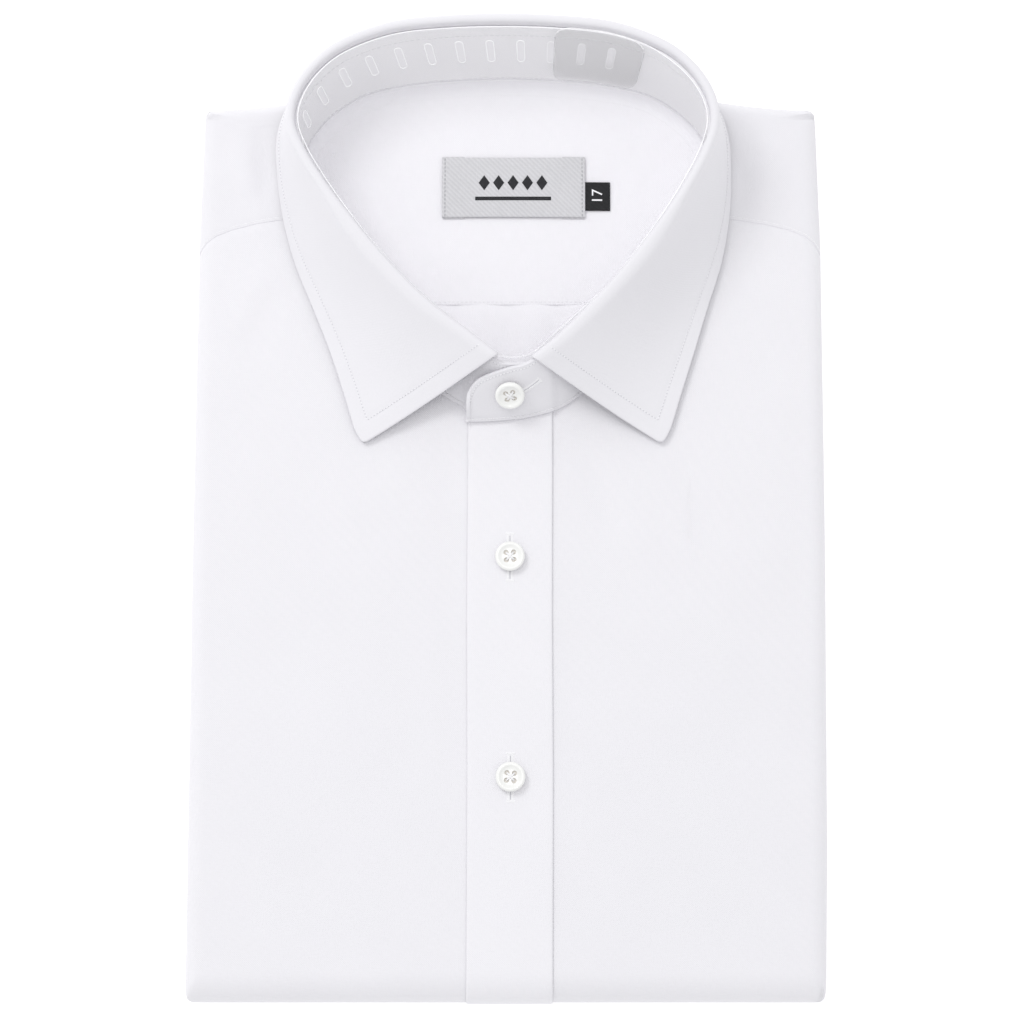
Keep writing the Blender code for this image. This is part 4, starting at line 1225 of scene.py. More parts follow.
# %% Collar band
BAND_TOP_GAP = 2.2  # the band stops this far below the fold, where the leaf begins
BAND_STITCH_IN = 1.4
BAND_SEAM_IN = 1.1
BAND_FOOT_GAP = 0.4  # between the lower edge of the band and the cloth it is sewn to
UNDER_LAP_SINK = 1.5  # the end underneath goes on behind the edge of the front
OVER_STEADY, UNDER_STEADY = 9, 6  # stations whose faces look the same way as the next one
INNER_LAYER = 0.25  # the inside of the band is a layer of its own
INNER_LOW_STITCH, INNER_TOP_STITCH = 2.2, 5.0
LAP_END_X, LAP_RUN, FRONT_HALF_Y = 40.0, 18.0, 80.0  # the ends lap in front of these
BAND_ROWS = 25


def seat_height(x, y):
    lap = PLACKET_LIFT * smoothstep((30.0 - np.abs(x)) / 10.0)
    return face_height(x, y, False) + np.where(y < 60.0, lap, 0.0) + SEAT


def front_lap(side, x, y):
    return side * float(smoothstep((LAP_END_X - x) / LAP_RUN)) if y < FRONT_HALF_Y else 0.0


def foot_at(x, y):
    return np.array([x, y, float(seat_height(x, y))])


def full_rise():
    """From the neck seam to the fold at the front corner, where the band is as high as it gets."""
    corner = COLLAR[0]
    return np.array([0.0, corner[3] - corner[1], corner[4] - seat_height(corner[0], corner[1])])


def band_rows():
    """From the over end, round the back, to the under end: lower edge, top edge and sideways lap."""
    full = full_rise()
    rows = [(*foot_at(x, y), *(foot_at(x, y) + full * share), 1.0) for x, y, share in OVER_END]
    for side, table in ((1, COLLAR), (-1, COLLAR[-2::-1])):
        for row in table:
            foot = foot_at(side * row[0] + 0.4 * skew(row[1]), row[1])
            top = (side * row[2] + skew(row[3]), row[3], row[4])
            rows.append((*foot, *top, front_lap(side, row[0], row[1])))
    for x, y, share in UNDER_END[::-1]:
        foot = foot_at(x, y)
        top = foot + full * share
        top[0] += 0.5 * x / 18.0
        rows.append((*foot, *top, -1.0))
    return np.array(rows)


def band_curves(spacing):
    dense = spline(band_rows(), 30)
    run = run_along(0.5 * (dense[:, :3] + dense[:, 3:6]))
    even = at_distances(dense, run, steps(0.0, run[-1], spacing))
    return even[:, :3], even[:, 3:6], even[:, 6]


def outward(feet, tops):
    return unit(np.cross(np.gradient(feet + tops, axis=0), tops - feet))


def sunk_by(lap):
    return UNDER_LAP_SINK * np.clip(-lap, 0.0, 1.0)


def settled_feet(feet, tops, lap):
    """Let the band's lower edge down onto the placket and the fronts."""
    x, y = feet[:, 0], feet[:, 1]
    on_placket = np.where(y < 60.0, PLACKET_SHOWN * smoothstep(18.0 - np.abs(x)), 0.0)
    lowered = feet.copy()
    lowered[:, 2] = np.minimum(feet[:, 2], face_height(x, y, False) + on_placket + BAND_FOOT_GAP)
    return lowered - unit(tops - lowered) * sunk_by(lap)[:, None]


def inset_outline(run, outline, inset):
    """Places on the band that lie a distance inside the line of its top edge."""
    points = np.stack([run, outline], axis=1)
    along = unit(np.gradient(points, axis=0))
    inside = points + inset * np.stack([along[:, 1], -along[:, 0]], axis=1)
    kept = (inside[:, 0] > inset) & (inside[:, 0] < run[-1] - inset) & (inside[:, 1] > inset)
    return inside[kept & (gaps_to(inside, points) > 0.9 * inset)]


feet, tops, lap = band_curves(1.5)
band_out = outward(feet, tops)
band_out[:OVER_STEADY] = band_out[OVER_STEADY]
band_out[-UNDER_STEADY:] = band_out[-UNDER_STEADY - 1]
feet = settled_feet(feet, tops, lap)
rise = tops - feet
height = np.linalg.norm(rise, axis=1)
usable = np.maximum(0.2, 1.0 - BAND_TOP_GAP / height)
shift = band_out * (OVERLAP_SHIFT * lap + 0.5 * BAND_WALL)[:, None]
inner_shift = band_out * (OVERLAP_SHIFT * lap - 0.5 * BAND_WALL - INNER_LAYER)[:, None]
share = shares(BAND_ROWS)
band_core = feet[:, None] + rise[:, None] * (usable[:, None] * share)[..., None]
band_grid = band_core + shift[:, None]
band_run = run_along(0.5 * (feet + tops))
band_up = (height * usable)[:, None] * share
band_flat = np.stack([np.broadcast_to(band_run[:, None], band_up.shape), band_up], axis=-1)
places = inset_outline(band_run, height * usable, BAND_STITCH_IN)
upward = at_distances(unit(rise), band_run, places[:, 0])
top_stitches = at_distances(feet + shift, band_run, places[:, 0]) + upward * places[:, 1:]
low_stitches = (feet + rise * ((BAND_SEAM_IN + sunk_by(lap)) / height)[:, None] + shift)[1:]
band_ways = np.broadcast_to(band_out[:, None], band_grid.shape)
for path, depth in ((top_stitches, 0.2), (low_stitches, 0.32)):
    band_grid = dent(band_grid, band_ways, path, depth, 0.7)
band = cloth_piece("collar_band", band_grid, band_flat, BAND_WALL, collar_cloth)

# %% Inside of the band
inner_grid = band_core + inner_shift[:, None]
inner_ways = np.broadcast_to(-band_out[:, None], inner_grid.shape)
inner_band_lines = []
for place in (INNER_LOW_STITCH / height, usable - INNER_TOP_STITCH / height):
    path = (feet + rise * place[:, None] + inner_shift)[height * usable > 2.0 * INNER_TOP_STITCH]
    inner_band_lines.append(path)
    inner_grid = dent(inner_grid, inner_ways, path, 0.1, GROOVE_WIDTH)
inner_band = cloth_piece("collar_band_inside", inner_grid, band_flat, INNER_LAYER, brightened_band_inside, flip=True)

# %% Neck seam
SEAM_RUN, SEAM_FRONT_RUN = 6.0, 2.2
SEAM_FROM_Y = 40.5
SEAM_START_UP = 0.25


def neck_seam_grid():
    """The edge of the inner yoke, which turns up to the foot of the band and is sewn into it."""
    lines = []
    for foot, out in zip(feet, band_out):
        if foot[1] < SEAM_FROM_Y:
            continue
        inward = -unit(np.array([out[0], out[1], 0.0]))
        start = foot - out * (0.5 * BAND_WALL - 0.05) + SEAM_START_UP * UPWARD
        behind = float(smoothstep((foot[1] - SEAM_FROM_Y) / 40.0))
        run = SEAM_FRONT_RUN + (SEAM_RUN - SEAM_FRONT_RUN) * behind
        plan = foot + inward * run
        end = np.array([*plan[:2], float(inner_height(*plan[:2])) + 0.05])
        lines.append(bezier(start, start + 0.9 * (inward - UPWARD), end - inward * 3.2, end, 14))
    return np.array(lines)


grid = neck_seam_grid()
flip = bool(grid_normals(grid)[0, -1, 2] < 0.0)
neck_seam = cloth_piece("neck_seam_cloth", grid, grid[..., :2], 0.3, inside_cloth, flip)

# %% [markdown]
# The collar leaf
#
# The leaf begins at the top of the band, rolls over the fold and falls outwards to lie on the shirt. Each
# station is a line: up and over the fold in an arc, then down a Bezier curve that flattens out at its edge.
# The seam allowance turned inside makes the outer six millimetres a little fuller, with a row of stitches
# pressed in along its inner side.

# %% Collar leaf
LEAF_SPACING = 1.25
LEAF_THICK = 1.15
LEAF_POINT_RADIUS = 1.8
LEAF_STITCH_IN = 6.2
LEAF_FRONT_STITCH_IN = 7.2
LEAF_START_DROP = 1.9  # the leaf's seam on the band lies this far below the fold
FOLD_ARC_POINTS = 9
FALL_POINTS = 46
ROLL_RADIUS = 5.0  # the outer side of the fold is a wide soft roll
ROLL_POINTS = 9
STEEPER, FLATTER = 10.0, 11.0  # degrees by which the fall's start and end differ from a straight line


def leaf_rows():
    rows = []
    for side, table in ((1, COLLAR), (-1, COLLAR[-2::-1])):
        for row in table:
            edge_x = side * row[5] + skew(row[6])
            lying = float(face_height(edge_x, row[6], False)) + LEAF_CLEARANCE
            hanging = float(table_value(LEAF_BACK_HEIGHT, abs(edge_x)))
            edge_z = lying if row[6] < HANGING_FROM_Y else hanging
            fold = (side * row[2] + skew(row[3]), row[3], row[4])
            foot = (side * row[0] + 0.4 * skew(row[1]), row[1])
            turned = (row[7], row[8], front_lap(side, row[0], row[1]))
            rows.append((*fold, edge_x, row[6], edge_z, *turned, *foot))
    return np.array(rows)


def leaf_line(fold, edge, out, fall, flare, down):
    """One line of the leaf: from the band's seam over the fold, then down to the edge."""
    centre = fold + out * FOLD_RADIUS
    hanging = float(smoothstep((flare - 60.0) / 20.0))
    lying = float(smoothstep((66.0 - fall) / 20.0))
    fall, flare = fall + STEEPER * lying, flare - FLATTER * lying
    angles = math.pi - math.pi * 0.5 * shares(FOLD_ARC_POINTS)
    arc = centre + FOLD_RADIUS * (np.cos(angles)[:, None] * out + np.sin(angles)[:, None] * UPWARD)
    rising = fold + down * LEAF_START_DROP * np.array([1.0, 0.5])[:, None]
    roll = FOLD_RADIUS + (ROLL_RADIUS - FOLD_RADIUS) * lying
    turns = math.pi * 0.5 - math.radians(fall) * shares(ROLL_POINTS)[1:]
    rolled = arc[-1] + roll * (np.cos(turns)[:, None] * out + (np.sin(turns)[:, None] - 1.0) * UPWARD)
    arc = np.vstack([arc, rolled])
    start = arc[-1]
    level = np.array([edge[0] - start[0], edge[1] - start[1], 0.0])
    level = (1.0 - hanging) * level / np.linalg.norm(level) + hanging * out
    length = np.linalg.norm(edge - start)
    leave = level * math.cos(math.radians(fall)) - UPWARD * math.sin(math.radians(fall))
    arrive = level * math.cos(math.radians(flare)) - UPWARD * math.sin(math.radians(flare))
    curve = bezier(start, start + leave * 0.36 * length, edge - arrive * 0.36 * length, edge, 80)
    run = run_along(curve)
    fallen = at_distances(curve, run, np.linspace(0.0, run[-1], FALL_POINTS)[1:])
    return np.vstack([rising, arc, fallen])


def leaf_middle():
    dense = spline(leaf_rows(), 40)
    run = run_along(0.5 * (dense[:, :3] + dense[:, 3:6]))
    even = at_distances(dense, run, steps(0.0, run[-1], LEAF_SPACING))
    along = np.gradient(even[:, :2], axis=0)
    lines = []
    for row, (step_x, step_y) in zip(even, along):
        square = np.array([step_y, -step_x, 0.0])
        toward = np.array([row[3] - row[0], row[4] - row[1], 0.0])
        share = float(smoothstep((row[1] - 60.0) / 60.0))
        out = unit(share * unit(square) + (1.0 - share) * unit(toward))
        fold = row[:3] + OVERLAP_SHIFT * row[8] * out
        foot = np.array([row[9], row[10], 17.0]) + OVERLAP_SHIFT * row[8] * out
        lines.append(leaf_line(fold, row[3:6], out, row[6], row[7], unit(foot - fold)))
    return np.array(lines)


def trim_points(grid):
    """Round the leaf's two points by drawing in the ends of its first and last lines."""
    trimmed = grid.copy()
    for order in (1, -1):
        lines = trimmed[::order]
        source = grid[::order]
        gap = np.linalg.norm(source[:, -1] - source[0, -1], axis=1)
        for k in np.nonzero(gap < LEAF_POINT_RADIUS)[0]:
            inward = LEAF_POINT_RADIUS - math.sqrt(LEAF_POINT_RADIUS**2 - (LEAF_POINT_RADIUS - gap[k]) ** 2)
            run = run_along(source[k])
            kept = run * (run[-1] - inward) / run[-1]
            lines[k] = at_distances(source[k], run, kept)
    return trimmed


def leaf_stitch_path(grid):
    """A line on the leaf that keeps its distance from the front edges and the outer edge."""
    front = []
    for lines in (grid, grid[::-1]):
        points = []
        for k in range(FOLD_ARC_POINTS + ROLL_POINTS // 3, grid.shape[1]):
            column = lines[:60, k]
            gaps = gaps_to(column, lines[0])
            if gaps.max() > LEAF_FRONT_STITCH_IN:
                reach = np.maximum.accumulate(gaps)
                points.append(at_distances(column, reach, np.array([LEAF_FRONT_STITCH_IN]))[0])
        points = np.array(points)
        front.append(points[gaps_to(points, grid[:, -1]) > LEAF_STITCH_IN - 0.3])
    outer = []
    for line in grid:
        run = run_along(line)
        outer.append(at_distances(line, run, np.array([run[-1] - LEAF_STITCH_IN]))[0])
    outer = np.array(outer)
    to_front = np.minimum(gaps_to(outer, grid[0]), gaps_to(outer, grid[-1]))
    return np.vstack([front[0], outer[to_front > LEAF_FRONT_STITCH_IN - 0.3], front[1][::-1]])


leaf_core = trim_points(leaf_middle())
leaf_normals = grid_normals(leaf_core)
if leaf_normals[len(leaf_core) // 8, -10, 2] < 0:
    leaf_normals = -leaf_normals
leaf_grid = leaf_core + leaf_normals * 0.5 * LEAF_THICK
leaf_path = leaf_stitch_path(leaf_grid)
leaf_grid = dent(leaf_grid, leaf_normals, leaf_path, 0.2, 0.9)
leaf_run = run_along(leaf_core[:, -1])
leaf_down = np.array([run_along(line) for line in leaf_core])
leaf_flat = np.stack([np.broadcast_to(leaf_run[:, None], leaf_down.shape), leaf_down], axis=-1)
flip = bool(grid_normals(leaf_grid)[len(leaf_core) // 8, -10, 2] < 0)
leaf = cloth_piece("collar_leaf_cloth", leaf_grid, leaf_flat, LEAF_THICK, collar_cloth, flip)
print("leaf: %d lines, stitch line %.0f mm long" % (len(leaf_core), run_along(leaf_path)[-1]))

# %% [markdown]
# The clear strip
#
# A strip of clear film with punched slots stands inside the band and keeps the neck open. Its two ends lap
# at the back, where it is doubled. It is one grid of points that follows the band, with the cells of each slot
# left out and the corners of the slots cut across. A point attribute marks its rims, which are painted near
# white with a glow, as a painted highlight; another marks its cut ends and the doubled part, which are
# painted grey, as painted shade.

# %% Clear strip
FILM_WALL = 0.4
FILM_GAP = 0.55
FILM_LAP_STEP = 0.55
FILM_LOW, FILM_HIGH = 0.06, 0.972
FILM_CORNER = 6.0
FILM_RIM = 0.35
FILM_END_TALLER = 1.2  # the end that shows is a little taller than the strip
# painted shade on the doubled part of the strip
FILM_LAP_SHADE = 0.035
# Strength of the painted rim highlight along the strip's low and top edges.
LOW_RIM_SHARE = 0.3
FRONT_RIM_SHARE = 0.8
FILM_SPACING = 2.6
FILM_INNER_END_X, FILM_OUTER_END_X = 53.6, 17.1
SLOT_WIDTH, SLOT_HEIGHT = 2.9, 12.4
SLOT_CUT = 0.8
SLOT_FIRST, SLOT_PITCH, SLOT_COUNT = 12.4, 11.78, 14
SLOT_CENTRE = 0.54
FILM_END_COLUMNS = np.array([0.0, FILM_RIM, 0.8, 1.6, 2.7, 4.2, FILM_CORNER])
FILM_BACK_Y = 150.0  # both ends lie behind this
LAP_FROM_END, LAP_STEP_RUN = 70.0, 22.0  # the strip steps over its other end before its own
DOUBLED_LENGTH = 36.0


def film_line():
    """Feet, tops and outward ways from one end of the strip to the other, and the distance along it."""
    rows = band_rows()[len(OVER_END) : -len(UNDER_END)]
    dense = spline(np.vstack([rows, rows, rows[:1]]), 24)
    at_back = dense[:, 1] > FILM_BACK_Y
    half = len(dense) // 2
    first = np.nonzero(at_back[:half] & (dense[:half, 3] < FILM_INNER_END_X))[0][0]
    last = half + np.nonzero(at_back[half:] & (dense[half:, 3] < FILM_OUTER_END_X))[0][0]
    low, high = dense[first:last, :3], dense[first:last, 3:6]
    return low, high, outward(low, high), run_along(low + high) / 2.0


def film_columns(length):
    """Distances along the strip of its columns, and which of them bound a slot."""
    half = 0.5 * SLOT_WIDTH
    offsets = (-half - FILM_RIM, -half, -half + SLOT_CUT, half - SLOT_CUT, half, half + FILM_RIM)
    columns, slots = list(FILM_END_COLUMNS), []
    for k in range(SLOT_COUNT):
        centre = SLOT_FIRST + SLOT_PITCH * k
        while centre - half - FILM_RIM - columns[-1] > FILM_SPACING:
            columns.append(columns[-1] + FILM_SPACING)
        slots.append(len(columns))
        columns += [centre + offset for offset in offsets]
    plain = steps(columns[-1], length - FILM_CORNER, FILM_SPACING)[1:-1]
    return np.concatenate([columns, plain, length - FILM_END_COLUMNS[::-1]]), slots


def film_rows(height, inset):
    """Heights of the rows of one column."""
    low, high = inset, height - inset
    bottom = SLOT_CENTRE * height - 0.5 * SLOT_HEIGHT
    top = bottom + SLOT_HEIGHT
    below = [low, low + FILM_RIM, 0.5 * (low + bottom), bottom - FILM_RIM, bottom, bottom + SLOT_CUT]
    above = [top - SLOT_CUT, top, top + FILM_RIM, 0.5 * (top + high), high - FILM_RIM, high]
    return np.array(below + above)


film_feet, film_tops, film_out, film_run = film_line()
FILM_LENGTH = film_run[-1]


def film_place(along, lift=0.0):
    """Foot, upward way, inward way and height of the strip at a distance along it."""
    packed = at_distances(np.column_stack([film_feet, film_tops, film_out]), film_run, np.array([along]))[0]
    foot, top, out = packed[:3], packed[3:6], unit(packed[6:])
    depth = 0.5 * BAND_WALL + INNER_LAYER + FILM_GAP + 0.5 * FILM_WALL + lift
    depth += FILM_LAP_STEP * float(smoothstep((LAP_FROM_END - (FILM_LENGTH - along)) / LAP_STEP_RUN))
    if foot[1] < FRONT_HALF_Y:
        depth += OVERLAP_SHIFT * float(smoothstep((LAP_END_X + 6.0 - abs(foot[0])) / LAP_RUN))
    tall = np.linalg.norm(top - foot)
    return foot - out * depth, (top - foot) / tall, -out, tall


def film_points(columns):
    points = []
    for column in columns:
        base, up, _, tall = film_place(column)
        to_end = FILM_LENGTH - column
        past = max(0.0, FILM_CORNER - min(column, to_end))
        inset = FILM_CORNER - math.sqrt(max(0.0, FILM_CORNER**2 - past**2))
        taller = FILM_END_TALLER * float(smoothstep((44.0 - to_end) / 10.0))
        rows = film_rows(tall * (FILM_HIGH - FILM_LOW) + taller, inset) + tall * FILM_LOW
        points.append(base + up * rows[:, None])
    return np.array(points)


def film_faces(index, slots):
    """Faces of the strip: cells round the slots, and four cut corners in each slot."""
    left_out, faces = set(), []
    for first in slots:
        left_out |= {(column, row) for column in range(first + 1, first + 4) for row in range(4, 7)}
        a, b, c, d = index[first + 1 : first + 5]
        faces += [(a[4], b[4], a[5]), (c[4], d[4], d[5]), (a[7], a[6], b[7]), (d[7], c[7], d[6])]
    for column, (near, far) in enumerate(zip(index, index[1:])):
        for row in range(len(near) - 1):
            if (column, row) not in left_out:
                faces.append((near[row], far[row], far[row + 1], near[row + 1]))
    return [[int(corner) for corner in face] for face in faces]


columns, slots = film_columns(FILM_LENGTH)
points = film_points(columns)
rim, end = np.zeros(points.shape[:2]), np.zeros(points.shape[:2])
# rim: the painted highlight along the strip's low and top edges.
rim[:, 0] = LOW_RIM_SHARE
rim[:, -1] = np.where(points[:, -1, 1] < FRONT_HALF_Y + 30.0, FRONT_RIM_SHARE, 1.0)
rim[[0, 1, -2, -1]] = 0.0
# end: painted shade on the doubled lap and at the cut ends.
end[FILM_LENGTH - columns < DOUBLED_LENGTH] = FILM_LAP_SHADE
end[[0, -1]] = 1.0
faces = film_faces(np.arange(rim.size).reshape(rim.shape), slots)
mesh = bpy.data.meshes.new("clear_strip")
mesh.from_pydata((points.reshape(-1, 3) * MM).tolist(), [], faces)
for name, values in (("rim", rim), ("end", end)):
    mesh.attributes.new(name, "FLOAT", "POINT").data.foreach_set("value", values.ravel().astype(np.float32))
mesh.materials.append(film)
mesh.shade_smooth()
strip = link("clear_strip", mesh)
form = bmesh.new()
form.from_mesh(mesh)
loose = [vert for vert in form.verts if not vert.link_faces]
bmesh.ops.delete(form, geom=loose, context="VERTS")
bmesh.ops.recalc_face_normals(form, faces=form.faces[:])
form.to_mesh(mesh)
form.free()
modify(strip, "SOLIDIFY", thickness=FILM_WALL * MM, offset=0.0)
apply_modifiers(strip)
print("clear strip: %.0f mm long, %d slots, %d faces" % (FILM_LENGTH, len(slots), len(strip.data.polygons)))

# %% Rims of the slots
# Wire rims round the slots, with a painted highlight: near white and glowing.
RIM_BEAD = 0.17
RIM_BEAD_COVERED = 0.07
COVERED_SLOTS = 3  # these lie under the lap


def slot_outline(order):
    """The rounded outline of a punched slot, on the side of the strip that shows."""
    centre = SLOT_FIRST + SLOT_PITCH * order
    half, straight = 0.5 * SLOT_WIDTH, 0.5 * (SLOT_HEIGHT - SLOT_WIDTH)
    turns = np.concatenate([np.linspace(0.0, math.pi, 9), np.linspace(math.pi, 2.0 * math.pi, 9)])
    ways = np.repeat([1.0, -1.0], 9)
    outline = []
    for turn, way in zip(turns, ways):
        base, up, inward, tall = film_place(centre + half * math.cos(turn))
        middle = tall * (FILM_LOW + SLOT_CENTRE * (FILM_HIGH - FILM_LOW))
        lift = middle + way * straight + half * math.sin(turn)
        outline.append(base + up * lift + inward * 0.5 * FILM_WALL)
    return outline


def wire(name, lines, radius, resolution, closed):
    """A round wire along lines of points, as a mesh."""
    curve = bpy.data.curves.new(name, "CURVE")
    curve.dimensions = "3D"
    curve.bevel_depth = radius * MM
    curve.bevel_resolution = resolution
    curve.use_fill_caps = not closed
    for places in lines:
        line = curve.splines.new("POLY")
        line.points.add(len(places) - 1)
        for point, place in zip(line.points, places):
            point.co = (*(value * MM for value in place), 1.0)
        line.use_cyclic_u = closed
    return mesh_of_curve(link(name, curve))


slot_rims = []
for name, radius, orders in (
    ("slot_rims", RIM_BEAD, range(COVERED_SLOTS, SLOT_COUNT)),
    ("slot_rims_covered", RIM_BEAD_COVERED, range(COVERED_SLOTS)),
):
    mesh = wire(name, [slot_outline(order) for order in orders], radius, 1, closed=True)
    mesh.materials.append(rim_highlight_finish)
    slot_rims.append(link(name, mesh))
    print("%s: %d faces" % (name, len(mesh.polygons)))

# %% [markdown]
# The label and the size tab
#
# The label is a piece of grey woven tape with its ends folded under, so the ends are a little taller and
# stand thicker than its middle. A plain row of woven lozenges over a rule takes the place of lettering. The
# black tab is tucked under its right end and carries a plain number.

# %% Label and tab
LABEL_X = (-26.9, 29.7)
LABEL_Y = (118.1, 142.3)
LABEL_LIFT, LABEL_BULGE = 1.25, 0.35
LABEL_FLAP = 9.0
LABEL_STITCH_IN = 1.2
FLAP_OVERHANG = 0.45
FLAP_LIFT = 0.75
TAPE_WALL = 0.4
TAPE_SPACING = 0.9
TAB_X = (28.2, 39.6)
TAB_Y = (120.9, 132.5)
TAB_LIFT = 0.7


def tape_top(x, y, x_range, y_range, lift, bulge):
    """Height of the face of a tape that lies on the inner yoke and swells in its middle."""
    u = (x - x_range[0]) / (x_range[1] - x_range[0])
    v = (y - y_range[0]) / (y_range[1] - y_range[0])
    return inner_height(x, y) + lift + bulge * np.sin(math.pi * u) ** 0.6 * np.sin(math.pi * v) ** 0.5


def label_top(x, y):
    return tape_top(x, y, LABEL_X, LABEL_Y, LABEL_LIFT, LABEL_BULGE)


def tape(name, x_range, y_range, lift, finish, bulge=0.0):
    x = steps(*x_range, TAPE_SPACING)[:, None]
    y = steps(*y_range, TAPE_SPACING)[None, :]
    x, y = np.broadcast_arrays(x, y)
    grid = np.stack([x, y, tape_top(x, y, x_range, y_range, lift, bulge)], axis=-1)
    return cloth_piece(name, grid, grid[..., :2], TAPE_WALL, finish), grid[..., :2]


label, label_flat = tape("neck_label_tape", LABEL_X, LABEL_Y, LABEL_LIFT, label_cloth, LABEL_BULGE)
left, right = LABEL_X
flap_y = (LABEL_Y[0] - FLAP_OVERHANG, LABEL_Y[1] + FLAP_OVERHANG)
flap_ends = ((left + 0.1, left + LABEL_FLAP), (right - LABEL_FLAP, right - 0.1))
flaps = [
    tape("neck_label_flap_%d" % order, ends, flap_y, FLAP_LIFT, label_cloth)[0]
    for order, ends in enumerate(flap_ends, start=1)
]
tab, tab_flat = tape("size_tab_tape", TAB_X, TAB_Y, TAB_LIFT, tab_cloth)

# %% Woven marks
LOZENGE = (4.4, 6.2)
LOZENGE_STEP = 5.7
LOZENGE_COUNT = 5
MARKS_MIDDLE_X = 1.2
LOZENGE_Y = 132.0
RULE_SIZE = (30.0, 1.5)
RULE_Y = 125.6
MARK_RISE = 0.12
NUMBER_SIZE = 5.98
NUMBER_RISE = 0.08


def woven_mark(name, x, y):
    grid = np.stack([x, y, label_top(x, y) + MARK_RISE], axis=-1)
    return sheet_mesh(name, grid, grid[..., :2], bar_cloth, grid_normals(grid)[0, 0, 2] < 0.0)


def joined(name, meshes, finish):
    """One mesh from several."""
    form = bmesh.new()
    for mesh in meshes:
        form.from_mesh(mesh)
        bpy.data.meshes.remove(mesh)
    mesh = mesh_of(form, name, finish)
    mesh.shade_smooth()
    return mesh


marks = []
side = np.linspace(-1.0, 1.0, 9)
for k in range(LOZENGE_COUNT):
    middle_x = MARKS_MIDDLE_X + (k - 0.5 * (LOZENGE_COUNT - 1)) * LOZENGE_STEP
    a, b = np.meshgrid(side, side, indexing="ij")
    x = middle_x + 0.25 * LOZENGE[0] * (a + b)
    y = LOZENGE_Y + 0.25 * LOZENGE[1] * (b - a)
    marks.append(woven_mark("lozenge", x, y))
x, y = np.meshgrid(
    MARKS_MIDDLE_X + steps(-0.5 * RULE_SIZE[0], 0.5 * RULE_SIZE[0], 1.0),
    RULE_Y + steps(-0.5 * RULE_SIZE[1], 0.5 * RULE_SIZE[1], 0.5),
    indexing="ij",
)
marks.append(woven_mark("rule", x, y))
label_marks = link("neck_label_marks", joined("neck_label_marks", marks, bar_cloth))
add_wall(label_marks, 0.16, 1)

# %% Number on the tab
curve = bpy.data.curves.new("number", "FONT")
curve.body = "17"
curve.size = NUMBER_SIZE * MM
curve.extrude = 0.06 * MM
curve.align_x = "CENTER"
curve.align_y = "CENTER"
mesh = mesh_of_curve(link("number", curve))
tab_middle = (0.5 * (LABEL_X[1] + TAB_X[1]), 0.5 * (TAB_Y[0] + TAB_Y[1]))
for vert in mesh.vertices:
    x, y = -vert.co.y / MM + tab_middle[0], vert.co.x / MM + tab_middle[1]
    z = float(inner_height(x, y)) + TAB_LIFT + NUMBER_RISE + vert.co.z / MM
    vert.co = (x * MM, y * MM, z * MM)
mesh.materials.append(thread_finish)
number = link("size_tab_number", mesh)
print("label marks: %d, number: %d faces" % (len(marks), len(mesh.polygons)))

# %% [markdown]
# The buttons
#
# A shirt button is turned: a rounded rim, a dish in its middle and a flat back, with four sewing holes.
# Spin turns a profile into the blank, and a Boolean cuts the holes. The thread crosses over the middle and
# goes down through them.

# %% Buttons
BUTTON_HEIGHT = 2.6
BUTTON_DISH = 0.75
HOLE_RADIUS = 0.98
HOLE_PITCH = 2.9
SHANK_GAP = 0.8
SEWING_RADIUS = 0.17
SHANK_RADIUS = 3.0
SHANK_TOP = 1.25
SEWING_SPREAD = 0.16  # between the two threads of a bundle, each way
COLLAR_BUTTON_SHARE = 0.45
COLLAR_BUTTON_FOOT = (0.0, 36.6)
BUTTON_PROFILE = (
    # radius, depth below the top of the rim
    (0.0, BUTTON_DISH),
    (2.6, BUTTON_DISH),
    (3.3, 0.69),
    (3.85, 0.495),
    (4.2, 0.21),
    (4.5, 0.05),
    (4.8, 0.0),
    (5.15, 0.08),
    (5.5, 0.36),
    (5.7, 0.8),
    (5.75, 1.25),
    (5.6, 1.8),
    (5.1, 2.35),
    (4.4, BUTTON_HEIGHT),
    (0.0, BUTTON_HEIGHT),
)


def button_blank():
    form = bmesh.new()
    places = [(radius * MM, 0.0, (BUTTON_HEIGHT - low) * MM) for radius, low in BUTTON_PROFILE]
    profile = [form.verts.new(place) for place in places]
    for pair in zip(profile, profile[1:]):
        form.edges.new(pair)
    geometry = form.verts[:] + form.edges[:]
    bmesh.ops.spin(form, geom=geometry, cent=(0, 0, 0), axis=(0, 0, 1), angle=2 * math.pi, steps=72)
    bmesh.ops.remove_doubles(form, verts=form.verts[:], dist=1e-6)
    bmesh.ops.recalc_face_normals(form, faces=form.faces[:])
    blank = link("button_blank", mesh_of(form, "button_blank"))
    form = bmesh.new()
    half = 0.5 * HOLE_PITCH * MM
    radius = HOLE_RADIUS * MM
    sizes = {"segments": 24, "radius1": radius, "radius2": radius, "depth": 4 * BUTTON_HEIGHT * MM}
    for x in (-half, half):
        for y in (-half, half):
            pin = bmesh.ops.create_cone(form, cap_ends=True, **sizes)
            bmesh.ops.translate(form, verts=pin["verts"], vec=(x, y, 0.0))
    pins = link("pins", mesh_of(form, "pins"))
    modify(blank, "BOOLEAN", operation="DIFFERENCE", object=pins)
    round_edges(blank, 0.12, 2, 50)
    apply_modifiers(blank)
    bpy.data.objects.remove(pins)
    mesh = blank.data
    bpy.data.objects.remove(blank)
    mesh.materials.clear()
    mesh.materials.append(shell_finish)
    mesh.shade_smooth()
    return mesh


